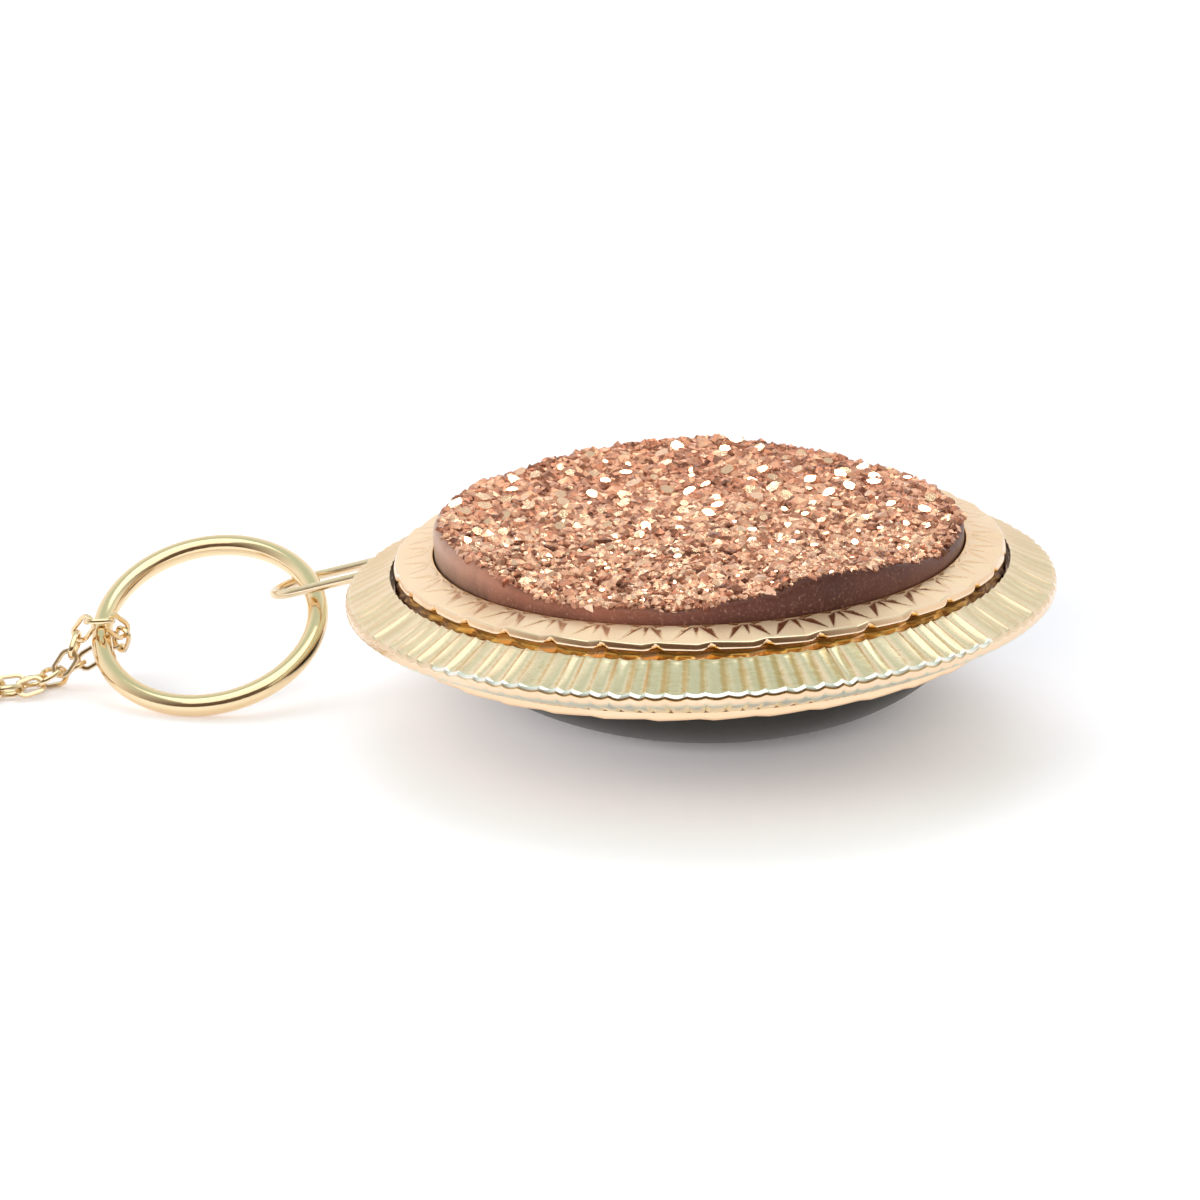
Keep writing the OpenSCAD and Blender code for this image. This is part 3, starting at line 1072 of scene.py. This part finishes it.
    def build(self) -> list[bpy.types.Object]:
        """Builds the setting with both of its flanges.

        Returns:
            The piece, in a list of its own.
        """
        s = self.setting
        count, pitch = self.cells * self.steps, 360 / self.cells
        angles = np.arange(count) * 360 / count
        turns = (self.gouge_turn, self.star_turn, self.low_star_turn)
        gouge, *stars = [np.radians((angles - turn + pitch / 2) % pitch - pitch / 2) for turn in turns]
        spread = np.random.default_rng(3).uniform(0.8, 1.15, (2, self.cells))
        stars = [away * (s.stone_r + 1) * row[np.round((angles - turn) / pitch).astype(int) % self.cells]
                 for away, turn, row in zip(stars, turns[1:], spread)]
        gouge = gouge * s.bezel_r
        keen = np.where(angles > self.far_end, between(angles, *self.keen_from), 1)
        keen = keen * (1 - self.dull) + self.dull
        upper = self._upper(stars[0], gouge, 1 - self.front_shine * bell(angles, *self.front), keen)
        rows = closed_rows(upper, self._lower(stars[1], gouge))
        radii, heights, satin, deep = tables(rows, count)
        points = polar(radii, angles[:, None], heights)
        shape = s.lay(points), wound_outwards(points, band_faces(count, len(rows), True))
        return [raise_piece("star_cut_bezel", [shape], Finish.ROSE_GOLD, 16, ["bezel"],
                            {"satin": satin.ravel(), "deep": deep.ravel()})]


# Druzy stone


@dataclass(frozen=True)
class Grain:
    """One kind of crystal, of random size and tint, which grows from the stone's front to its back.

    Attributes:
        count: Number of crystals, or 0 for the grid, where it follows from the spacing.
        sizes: Least and greatest radius.
        tints: Shape of the spread of tints, or none for bright flat plates that glint.
        sides: Number of sides, or 0 for such plates.
        at_front: Share of the size at the front.
        gain: What the share gains at the back.
        grow_y: Where the gain starts and ends.
    """

    count: int
    sizes: tuple[float, float]
    tints: tuple[float, float] | None
    sides: int
    at_front: float = 1.0
    gain: float = 0.0
    grow_y: tuple[float, float] = (0.0, 1.0)

    def row(self, x: float, y: float, rng: np.random.Generator) -> tuple[float, ...]:
        """One crystal of this kind at x and y, as x, y, radius, tint and number of sides."""
        size = rng.uniform(*self.sizes) * (self.at_front + self.gain * between(y, *self.grow_y))
        return x, y, size, rng.beta(*self.tints) if self.tints else 1.0, self.sides


@dataclass
class DruzyStone:
    """Stone with a smooth coated side and a crust of pointed crystals.

    The rim's rows hold an angle in degrees and the rim's height over the setting there, the
    waves' rows the number, size and shift of the waves in the line where the crystals end, and the
    tint_waves' rows the size, the steps along X and Y and the shift of the waves in the tint. A
    glint is a direction that mirrors a small lamp to the camera.
    """

    setting: Setting
    crust_rise: float = 1.5
    crust_swell: float = 0.2
    rim: tuple[tuple[float, float], ...] = (
        (0, 1.15), (20, 1.15), (45, 1.1), (62, 1.25), (76, 1.75), (90, 1.9), (135, 1.55), (165, 1.65),
        (190, 1.85), (216, 1.75), (224, 1.25), (232, 0.95), (246, 0.9), (258, 0.9), (265, 0.75),
        (271, 1.05), (278, 1.35), (286, 1.55), (291, 1.95), (300, 2.05), (309, 1.75), (318, 1.4),
        (330, 1.05), (345, 1.0), (360, 1.15))
    waves: tuple[Triple, ...] = ((7, 0.45, 1), (17, 0.3, 2.2), (41, 0.22, 0), (83, 0.15, 0.7))
    rim_wave: float = 0.07
    reach_wave: float = 0.14
    shoulder: float = 0.35
    shoulder_drop: float = 0.8
    columns: int = 480
    bed_rings: int = 44
    bed_rough: float = 0.08
    bed_sink: float = 0.12
    spacing: float = 0.31
    row_step: float = 0.866
    bare_rim: float = 0.3
    bare_left: float = 0.12
    left: tuple[float, float] = (190, 24)
    row_uneven: float = 0.45
    three_sided: float = 0.6
    grid: Grain = Grain(0, (0.16, 0.3), (2.0, 1.9), 6, gain=0.35, grow_y=(-8, 6))
    small: Grain = Grain(2200, (0.07, 0.16), (1.0, 1.7), 3)
    large: Grain = Grain(620, (0.26, 0.46), (2.0, 1.5), 6, gain=0.4, grow_y=(-6, 8))
    plates: Grain = Grain(180, (0.15, 0.42), None, 0, at_front=0.35, gain=0.65, grow_y=(-9, 3))
    small_in: float = 2.2
    small_out: float = 0.05
    small_crowding: float = 1.7
    large_r: float = 12.4
    plates_r: float = 12.6
    plates_uneven: float = 4.0
    golden_deg: float = 137.5
    root: float = 0.16
    foot_share: float = 1.1
    tallest: float = 0.3
    shaft: tuple[float, float] = (0.05, 0.5)
    point: tuple[float, float] = (0.4, 0.75)
    plate_sides: int = 8
    plate_up: float = 0.15
    plate_share: float = 0.4
    across: Triple = (0.2, 0.97, 0.1)
    lean: float = 0.36
    lean_out: float = 0.3
    side_uneven: float = 0.18
    tip_uneven: float = 0.22
    face_uneven: float = 0.12
    glint_uneven: float = 0.04
    tint_waves: tuple[tuple[float, ...], ...] = ((0.07, 0.9, 0.5, 1.0), (0.06, -0.6, 1.1, 0.0))
    tint_spread: float = 1.1
    tint_up: float = 0.09
    # Painted shade on the crystals: darker at the back and to the right, and dark ones at the front as shade
    # in the crevices
    back_y: tuple[float, float] = (-5, 7)
    back_even: float = 0.55
    back_painted_shade: float = 0.31
    right_x: tuple[float, float] = (0, 10)
    right_painted_shade: float = 0.04
    crevice_shade_chance: float = 0.17
    crevice_shade_by: float = 0.5
    glints: tuple[Triple, ...] = (
        (0.226, -0.256, 0.94), (-0.364, -0.277, 0.889), (0.33, -0.507, 0.796), (-0.12, -0.498, 0.859),
        (0.019, -0.073, 0.997), (0.217, -0.444, 0.869), (-0.21, -0.207, 0.955))

    @property
    def side_r(self) -> float:
        """Radius of the smooth side."""
        return self.setting.girth_r

    @property
    def crust_r(self) -> float:
        """Radius at which the crust turns over into the shoulder."""
        return self.side_r - self.shoulder

    def _wobble(self, angle_deg: Number) -> Number:
        """Uneven line where the crystals end, from about -1 to 1."""
        a = np.radians(angle_deg)
        return sum(size * np.sin(count * a + shift) for count, size, shift in self.waves)

    def _rim_height(self, angle_deg: Number) -> Number:
        """Height of the crust's rim at each angle."""
        height = np.interp(angle_deg % 360, *zip(*self.rim))
        return self.setting.bezel_h / 2 + height + self.rim_wave * self._wobble(angle_deg)

    def _crust_height(self, share: float, angle_deg: Number) -> Number:
        """Height of the crust's mean surface.

        Args:
            share: Distance from the middle, as a share of the crust's radius.
            angle_deg: The angle.

        Returns:
            The height over the setting's middle.
        """
        middle = self.setting.bezel_h / 2 + self.crust_rise
        middle = middle + self.crust_swell * share * np.sin(np.radians(2 * angle_deg + 40))
        return middle * (1 - share ** 3) + self._rim_height(angle_deg) * share ** 3

    def _side(self) -> Shape:
        """The smooth side, its tight shoulder and the bed that the crystals stand on.

        Returns:
            The corners and the faces.
        """
        s = self.setting
        rng = np.random.default_rng(5)
        angles = np.arange(self.columns) * 360 / self.columns
        rim, foot, half = self._rim_height(angles), s.ledge_h / 2 + s.stone_gap, s.bezel_h / 2
        rows: list[Row] = [(0.02, foot), (self.side_r, foot), (self.side_r, half),
                           (self.side_r, (rim - self.shoulder + half) / 2)]
        for turn in np.radians((0, 20, 40, 60, 80)):
            rows.append((self.side_r - self.shoulder * (1 - math.cos(turn)),
                         rim - self.shoulder * (1 - math.sin(turn))))
        for share in np.linspace(0.98, 0.02, self.bed_rings):
            rough = rng.uniform(-self.bed_rough, self.bed_rough, self.columns) * min(1.0, share * 3)
            rows.append((self.crust_r * share, self._crust_height(share, angles) - self.bed_sink + rough))
        radii, heights = tables(rows, self.columns)
        return polar(radii, angles[:, None], heights), band_faces(self.columns, len(rows), True)

    def _reach(self, angle_deg: float) -> float:
        """Radius that the crystals reach at one angle: less at the left, where the side curls in."""
        bare = self.bare_rim + self.bare_left * bell(angle_deg % 360, *self.left)
        return self.side_r - bare + self.reach_wave * self._wobble(angle_deg * 1.7)

    def _shaded(self, x: float, y: float, tint: float, chance: float) -> float:
        """Tint of one crystal for its place: more even and darker at the back, with dark ones at the front.

        Args:
            x: The crystal's place across the stone.
            y: The crystal's place towards the back.
            tint: The crystal's own tint.
            chance: A random number from 0 to 1.

        Returns:
            The tint that it gets there.
        """
        back = between(y, *self.back_y)
        broad = sum(size * math.sin(along_x * x + along_y * y + shift)
                    for size, along_x, along_y, shift in self.tint_waves)
        tint = 0.5 + (tint - 0.5) * (self.tint_spread - self.back_even * back) + broad
        # Painted shade: darker at the back and towards the right
        tint += self.tint_up - self.back_painted_shade * back - self.right_painted_shade * between(x, *self.right_x)
        # Painted shade: some crystals at the front are painted dark, as shade in the crevices
        return tint - self.crevice_shade_by * (chance < self.crevice_shade_chance * (1 - back))

    @staticmethod
    def _at(r: float, angle_deg: float) -> tuple[float, float]:
        """The place at a radius and an angle, as x and y."""
        return r * math.cos(math.radians(angle_deg)), r * math.sin(math.radians(angle_deg))

    def _seeds(self, rng: np.random.Generator) -> np.ndarray:
        """Places and sizes of the crystals.

        They stand on an uneven triangle grid, with small ones along the rim, large ones anywhere
        and flat plates on a spiral.

        Args:
            rng: The seeded source of unevenness.

        Returns:
            Rows of x, y, radius, tint and number of sides, with 0 sides for a flat plate that glints.
        """
        rows, step = [], self.spacing
        half = int(self.side_r / step / self.row_step) + 2
        for j in range(-half, half + 1):
            for i in range(-half, half + 1):
                x = (i + 0.5 * (j % 2)) * step + rng.uniform(-self.row_uneven, self.row_uneven) * step
                y = j * step * self.row_step + rng.uniform(-self.row_uneven, self.row_uneven) * step
                if math.hypot(x, y) < self._reach(math.degrees(math.atan2(y, x))):
                    *row, sides = self.grid.row(x, y, rng)
                    rows.append((*row, 3 if rng.uniform() < self.three_sided else sides))
        for _ in range(self.small.count):
            a, inwards = rng.uniform(0, 360), rng.uniform(0, 1) ** self.small_crowding * self.small_in
            rows.append(self.small.row(*self._at(self._reach(a) + self.small_out - inwards, a), rng))
        for _ in range(self.large.count):
            a, r = rng.uniform(0, 360), self.large_r * math.sqrt(rng.uniform(0, 1))
            rows.append(self.large.row(*self._at(r, a), rng))
        for k in range(self.plates.count):
            a = k * self.golden_deg + rng.uniform(-self.plates_uneven, self.plates_uneven)
            r = self.plates_r * math.sqrt((k + rng.uniform(0, 1)) / self.plates.count)
            rows.append(self.plates.row(*self._at(r, a), rng))
        return np.array(rows)

    def _stance(self, x: float, y: float, plate: bool,
                rng: np.random.Generator) -> tuple[np.ndarray, np.ndarray]:
        """Where one crystal stands and how it leans: outwards on the shoulder, and a plate to a lamp.

        Args:
            x: The crystal's place across the stone.
            y: The crystal's place towards the back.
            plate: Whether it is a flat plate that glints.
            rng: The seeded source of unevenness.

        Returns:
            Its foot and its axis.
        """
        r = math.hypot(x, y)
        over = between(r, self.crust_r, self.side_r)
        base = self._crust_height(min(1.0, r / self.crust_r), math.degrees(math.atan2(y, x)))
        base -= self.shoulder * (1 - math.sqrt(1 - over * over)) * self.shoulder_drop
        lean, turn = rng.normal(0, self.lean), rng.uniform(0, 2 * math.pi)
        axis = np.array([math.sin(lean) * math.cos(turn) + self.lean_out * over * x / r,
                         math.sin(lean) * math.sin(turn) + self.lean_out * over * y / r, math.cos(lean)])
        if plate:
            glint = self.glints[rng.integers(len(self.glints))]
            axis = np.array(glint) + rng.normal(0, self.glint_uneven, 3)
        return np.array([x, y, base - self.root]), axis / np.linalg.norm(axis)

    def _crystals(self) -> tuple[np.ndarray, Faces, np.ndarray]:
        """Pointed crystals and flat plates over the whole crust.

        Returns:
            Their corners, their faces and a tint for each face.
        """
        rng = np.random.default_rng(23)
        corners, faces, tints = [], [], []
        for x, y, size, tint, sides in self._seeds(rng):
            plate, sides = sides == 0, int(sides) or self.plate_sides
            if not plate:
                tint = self._shaded(x, y, tint, rng.uniform())
            foot, axis = self._stance(x, y, plate, rng)
            side = np.cross(axis, self.across)
            side /= np.linalg.norm(side)
            spin = rng.uniform(0, 2 * math.pi) + np.arange(sides) * 2 * math.pi / sides
            ring = np.outer(np.cos(spin), side) + np.outer(np.sin(spin), np.cross(axis, side))
            ring = ring * (size * (1 + rng.uniform(-self.side_uneven, self.side_uneven, sides)))[:, None]
            tall = min(size, self.tallest)
            up = self.root + tall * rng.uniform(*self.shaft)
            tip = foot + axis * (up + tall * rng.uniform(*self.point))
            tip += rng.uniform(-self.tip_uneven, self.tip_uneven, 3) * size
            if plate:
                up += self.plate_up + self.plate_share * tall
                tip = foot + axis * up
            start = len(corners)
            corners += [*(foot + ring * self.foot_share), *(foot + ring + axis * up), tip]
            for k in range(start, start + sides):
                n = k + 1 if k + 1 < start + sides else start
                faces += [(k, n, n + sides, k + sides), (k + sides, n + sides, start + 2 * sides)]
                tints += [tint, tint + rng.uniform(-self.face_uneven, self.face_uneven)]
            faces.append(tuple(reversed(range(start, start + sides))))
            tints.append(tint)
        return np.array(corners), faces, np.clip(tints, 0, 1)

    def build(self) -> list[bpy.types.Object]:
        """Builds the side and the crystals.

        Returns:
            The two pieces.
        """
        points, faces = self._side()
        side = raise_piece("coated_side", [(self.setting.lay(points), wound_outwards(points, faces))],
                           Finish.SKIN, 50, ["druzy_stone"])
        corners, faces, tints = self._crystals()
        crystals = raise_piece("crystal_crust", [(self.setting.lay(corners), faces)],
                               Finish.CRYSTAL, 3, ["druzy_stone"])
        crystals.data.polygons.foreach_set("use_smooth", [False] * len(faces))
        crystals.data.attributes.new("tint", "FLOAT", "FACE").data.foreach_set("value", tints)
        return [side, crystals]


# Back stone


@dataclass
class BackStone:
    """Polished dome that the pendant lies on."""

    setting: Setting
    columns: int = 180
    rings: int = 44
    bevel: float = 0.1
    seat_up: float = 0.3
    free_gap: float = 0.1

    def build(self) -> list[bpy.types.Object]:
        """Builds the dome with its hidden flat top.

        Returns:
            The piece, in a list of its own.
        """
        s, angles = self.setting, np.arange(self.columns) * 360 / self.columns
        top = -s.ledge_h / 2 - s.stone_gap
        free_z = s.bezel_h / 2 + self.free_gap
        seat = math.asin((free_z - s.dome_top) / s.dome_h) * 2 / math.pi
        rings = [polar(r, angles, z) for r, z in (
            (0.05, top), (s.girth_r - self.bevel, top), (s.girth_r, top - self.bevel),
            (s.girth_r, self.seat_up - s.bezel_h / 2))]
        rings += [s.dome_ring(float(share), self.columns) for share in np.linspace(seat, 0.995, self.rings)]
        points, rows = np.stack(rings, axis=1).reshape(-1, 3), len(rings)
        faces = flipped(band_faces(self.columns, rows, False))
        faces.append(tuple(column * rows for column in range(self.columns)))
        faces.append(tuple(reversed([(column + 1) * rows - 1 for column in range(self.columns)])))
        return [raise_piece("polished_dome", [(s.lay(points), faces)], Finish.STONE, 35,
                            ["back_stone"])]


# Chain


@dataclass
class Chain:
    """Cable chain of oval wire links, threaded through the bail ring and closed at the clasp."""

    bail_at: tuple[float, float] = (-25.25, 4.3)
    bail_r: float = 5.65
    bail_wire: float = 1.1
    bail_tilt: float = 29.5
    bail_turn: float = 14.0
    turn_at: float = 194.0
    turn_r: float = 1.2
    turn_start: float = 202.5
    turn_top: float = 90.0
    turn_end: float = -67.5
    turn_step: float = 11.25
    near: tuple[Triple, ...] = (
        (-32.2, 3.5, 2.2), (-32.5, 3.3, 1.7), (-32.9, 3.1, 1.2), (-33.5, 2.8, 0.8), (-34.4, 2.3, 0.5),
        (-36, 1.7, 0.5), (-38, 1.6, 0.5))
    far: tuple[Triple, ...] = (
        (-31.5, 4.9, 1.4), (-32, 4.7, 1), (-32.7, 4.4, 0.6), (-33.8, 3.8, 0.5), (-35, 3.2, 0.5),
        (-36.3, 2.9, 0.5), (-38, 2.8, 0.5))
    lay_x: float = -38.0
    lay_length: float = 147.0
    lay_full: float = 68.0
    lay_start: float = 12.0
    lay_points: int = 27
    route_y: float = 2.2
    route_half: float = 0.6
    route_z: float = 0.5
    clasp_reach: float = 4.15
    eye_in: float = 0.75
    lying_x: float = -33.5
    link_l: float = 1.7
    link_w: float = 1.15
    link_steps: int = 14
    wire: float = 0.28
    wire_sides: int = 6
    link_roll: float = 45.0

    def _bail_turned(self, direction: Sequence[float]) -> np.ndarray:
        """A direction turned about the upright axis as the bail ring is."""
        return turned(np.array(direction, float), -math.radians(self.bail_turn), 2)

    def _turn_frame(self) -> tuple[np.ndarray, np.ndarray, np.ndarray]:
        """The place where the chain turns round the bail ring.

        Returns:
            Middle of the ring's wire there, and the outward and upward directions.
        """
        tilt, at = math.radians(self.bail_tilt), math.radians(self.turn_at)
        middle = np.array([*self.bail_at, self.bail_wire / 2 + self.bail_r * math.sin(tilt)])
        out = self._bail_turned((math.cos(at), math.sin(at) * math.cos(tilt), math.sin(at) * math.sin(tilt)))
        up = self._bail_turned((0, -math.sin(tilt), math.cos(tilt)))
        return middle + self.bail_r * out, out, up

    def _turn(self, start: float, end: float) -> list[np.ndarray]:
        """Points of the turn round the bail ring's wire.

        Args:
            start: First angle in degrees.
            end: Last angle in degrees.

        Returns:
            The points, one turn_step apart.
        """
        wire, out, up = self._turn_frame()
        angles = np.radians(np.linspace(start, end, int(abs(end - start) / self.turn_step) + 1))
        return [wire + self.turn_r * (math.cos(a) * up - math.sin(a) * out) for a in angles]

    def _lay(self, side: int) -> list[np.ndarray]:
        """One side of the drop-shaped loop, from near the pendant to the clasp's eye.

        Args:
            side: -1 for the near side and 1 for the far side.

        Returns:
            The points.
        """
        end = 180 - math.degrees(math.asin((self.clasp_reach + 0.1 - self.route_half) / self.lay_full))
        points = []
        for a in np.radians(np.linspace(self.lay_start, end, self.lay_points)):
            wide = self.route_half + self.lay_full * math.sin(a) * math.sin(a / 2)
            points.append(np.array([self.lay_x - self.lay_length * (1 - math.cos(a)) / 2,
                                    self.route_y + side * wide, self.route_z]))
        return points + [points[-1] + np.array([0, -side * self.eye_in, 0.05])]

    def _route(self) -> np.ndarray:
        """The chain's whole middle line, from the clasp's far eye round the bail ring to its near eye.

        Returns:
            The points.
        """
        over, under = self._turn(self.turn_start, self.turn_top), self._turn(self.turn_top, self.turn_end)
        threaded = [*reversed(self.far), *over, *under[1:], *self.near]
        return np.array([*reversed(self._lay(1)), *threaded, *self._lay(-1)], float)

    def _link(self) -> Shape:
        """One oval link about the origin, long along X and lying in the XY plane.

        Returns:
            Its corners and faces.
        """
        half_l, half_w = (self.link_l - self.wire) / 2, (self.link_w - self.wire) / 2
        turn = (np.arange(self.link_steps) + 0.5) * 2 * np.pi / self.link_steps
        outward = np.stack([np.cos(turn), np.sin(turn), 0 * turn], axis=1)
        middle = half_w * outward
        middle[:, 0] += np.sign(np.cos(turn)) * (half_l - half_w)
        around = np.arange(self.wire_sides) * 2 * np.pi / self.wire_sides
        section = np.cos(around)[:, None] * outward[:, None] + np.sin(around)[:, None] * np.array([0, 0, 1.0])
        points = (middle[:, None] + self.wire / 2 * section).reshape(-1, 3)
        return points, wound_outwards(points, band_faces(self.link_steps, self.wire_sides, True))

    def build(self) -> list[bpy.types.Object]:
        """Builds every link, each turned a quarter from the last.

        Returns:
            The piece, in a list of its own.
        """
        route = self._route()
        length = np.concatenate([[0], np.cumsum(np.linalg.norm(np.diff(route, axis=0), axis=1))])
        count = int(round(length[-1] / (self.link_l - 2 * self.wire)))
        places = np.linspace(0, length[-1], count + 1)
        joints = np.stack([np.interp(places, length, route[:, k]) for k in range(3)], axis=1)
        _, out, up = self._turn_frame()
        wire_way = np.cross(up, out)
        shape, faces = self._link()
        parts = []
        for k, (start, end) in enumerate(zip(joints, joints[1:])):
            ahead, middle = (end - start) / np.linalg.norm(end - start), (end + start) / 2
            side = wire_way if middle[0] > self.lying_x else np.cross((0, 0, 1.0), ahead)
            side = side - side.dot(ahead) * ahead
            side /= np.linalg.norm(side)
            roll = math.radians(self.link_roll if k % 2 else -self.link_roll)
            wide = side * math.cos(roll) + np.cross(ahead, side) * math.sin(roll)
            parts.append((middle + shape @ np.array([ahead, wide, np.cross(ahead, wide)]), faces))
        LOG.info("chain: %d links over %.1f mm", count, length[-1])
        return [raise_piece("cable_chain", parts, Finish.FINE_GOLD, 60,
                            ["chain_near", "chain_far"])]


@dataclass
class PlainRings:
    """Bail ring and clasp, whose plain round wire keeps its solid's shape."""

    names: tuple[str, ...] = ("bail_ring", "clasp")

    def build(self) -> list[bpy.types.Object]:
        """Dresses the solids in bright gold.

        Returns:
            The two solids.
        """
        solids = [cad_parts[name] for name in self.names]
        for solid in solids:
            for place in solid.material_slots:
                place.material = Finish.FINE_GOLD.material()
        return solids


# Studio


@dataclass
class Studio:
    """Pale floor, soft light and the camera that sees the pendant as the photograph does.

    The camera's place is in millimetres and all else in metres. The room's stops run from straight
    down to straight up, and from behind the camera to the far wall.
    """

    camera_at: Triple = (-5.09, -257.38, 88.66)
    camera_down: float = 17.8
    lens: float = 159.87
    look_at: Triple = (-0.005, 0, 0.005)
    floor_x: tuple[float, float] = (-2.5, 2.5)
    floor_y: tuple[float, float] = (-1.5, 3.5)
    floor_z: float = -0.00002
    softbox_at: Triple = (0.0, -0.26, 0.64)
    softbox_size: float = 0.75
    softbox_watts: float = 2.0
    fill_size: float = 0.5
    fills: tuple[tuple[str, Triple, float, Triple], ...] = (
        ("rear_fill", (0.0, 0.45, 0.5), 1.8, (0.85, 0.83, 1.0)),
        ("front_fill", (-0.12, -0.8, 0.15), 13.0, (1.0, 0.965, 0.9)),
        ("left_fill", (-0.7, -0.3, 0.25), 3.5, (0.98, 0.99, 1.0)))
    glitter_at: tuple[Triple, ...] = (
        (0.16, 0.4, 0.42), (-0.22, 0.36, 0.38), (0.3, 0.12, 0.5), (-0.1, 0.12, 0.6), (0.02, 0.5, 0.26),
        (-0.36, 0.1, 0.42), (0.1, -0.2, 0.6), (0.4, 0.3, 0.3), (0.2, 0.2, 0.55), (-0.12, 0.45, 0.4))
    glitter_size: float = 0.06
    glitter_watts: float = 0.25
    glitter_tone: Triple = (1.0, 0.88, 0.72)
    room_height: Stops = (
        (0.0, (0.9, 0.9, 0.9)), (0.5, (1.0, 0.995, 0.98)), (0.72, (1.0, 0.995, 0.98)),
        (0.86, (0.82, 0.9, 0.84)), (0.95, (0.6, 0.72, 0.65)), (1.0, (0.6, 0.72, 0.66)))
    room_depth: Stops = (
        (0.0, (0.12, 0.085, 0.06)), (0.1, (0.15, 0.11, 0.08)), (0.3, (0.55, 0.52, 0.48)),
        (0.5, (1, 1, 1)), (1.0, (1, 1, 1)))

    def floor(self) -> None:
        """Lays the paper floor."""
        mesh = bpy.data.meshes.new("floor")
        (left, right), (front, back), z = self.floor_x, self.floor_y, self.floor_z
        corners = [(left, front, z), (right, front, z), (right, back, z), (left, back, z)]
        mesh.from_pydata(corners, [], [(0, 1, 2, 3)])
        mesh.materials.append(Finish.PAPER.material())
        floor = bpy.data.objects.new("floor", mesh)
        bpy.context.scene.collection.objects.link(floor)

    def lamp(self, name: str, at: Triple, size: float, watts: float,
             tone: Triple = (1, 1, 1)) -> bpy.types.Object:
        """Hangs one square soft lamp that looks at the pendant.

        Args:
            name: The lamp's name.
            at: Its place.
            size: Its side.
            watts: Its power.
            tone: Its colour.

        Returns:
            The lamp.
        """
        data = bpy.data.lights.new(name, "AREA")
        data.size, data.energy, data.color = size, watts, tone
        lamp = bpy.data.objects.new(name, data)
        lamp.location = at
        lamp.rotation_euler = (Vector(self.look_at) - Vector(at)).to_track_quat("-Z", "Y").to_euler()
        bpy.context.scene.collection.objects.link(lamp)
        return lamp

    def sparkle(self, crystals: bpy.types.Object) -> None:
        """Hangs small bright lamps that light the crystals alone, for their glitter.

        Args:
            crystals: The crystal crust.
        """
        lit = bpy.data.collections.new("glitter")
        lit.objects.link(crystals)
        for k, at in enumerate(self.glitter_at):
            lamp = self.lamp(f"glitter_{k}", at, self.glitter_size, self.glitter_watts, self.glitter_tone)
            lamp.light_linking.receiver_collection = lit

    def sky(self) -> None:
        """Soft room light: bright low down, greyer overhead, darker behind the camera."""
        world = bpy.data.worlds.new("room")
        bpy.context.scene.world = world
        world.use_nodes = True
        bench = Bench(world.node_tree)
        way = bench.add("ShaderNodeTexCoord", output="Generated")
        rise = bench.ramp(bench.axis(way, "Z") * 0.5 + 0.5, self.room_height)
        back = bench.ramp(bench.axis(way, "Y") * 0.5 + 0.5, self.room_depth)
        glow = bench.add("ShaderNodeBackground", {}, {
            "Color": bench.mix(1.0, rise, back, "MULTIPLY"), "Strength": 1.0})
        bench.add("ShaderNodeOutputWorld", {}, {"Surface": glow})

    def camera(self) -> None:
        """Sets up the camera."""
        data = bpy.data.cameras.new("camera")
        data.lens, data.sensor_width = self.lens, 36.0
        data.clip_start, data.clip_end = 0.01, 20.0
        camera = bpy.data.objects.new("camera", data)
        camera.location = Vector(self.camera_at) * MM
        camera.rotation_euler = (math.radians(90 - self.camera_down), 0, 0)
        bpy.context.scene.collection.objects.link(camera)
        bpy.context.scene.camera = camera

    def build(self) -> None:
        """Builds the whole studio."""
        self.camera()
        self.floor()
        self.sky()
        softbox = self.lamp("top_softbox", self.softbox_at, self.softbox_size, self.softbox_watts)
        softbox.visible_diffuse = False
        for name, at, watts, tone in self.fills:
            self.lamp(name, at, self.fill_size, watts, tone).visible_glossy = False
        scene = bpy.context.scene
        scene.view_settings.view_transform = "Standard"
        scene.view_settings.look = "None"


def main() -> None:
    """Builds the studio and every piece, and notes how far the looks reach."""
    logging.basicConfig(level=logging.INFO, format="%(name)s: %(message)s")
    setting = Setting()
    studio = Studio()
    studio.build()
    pieces: dict[str, bpy.types.Object] = {}
    for maker in (Chain(), PlainRings(), OuterRing(setting), Bezel(setting), BackStone(setting),
                  DruzyStone(setting)):
        for piece in maker.build():
            pieces[piece.name] = piece
            LOG.info("%s: %s", type(maker).__name__, piece.name)
    studio.sparkle(pieces["crystal_crust"])


if __name__ == "__main__":
    main()
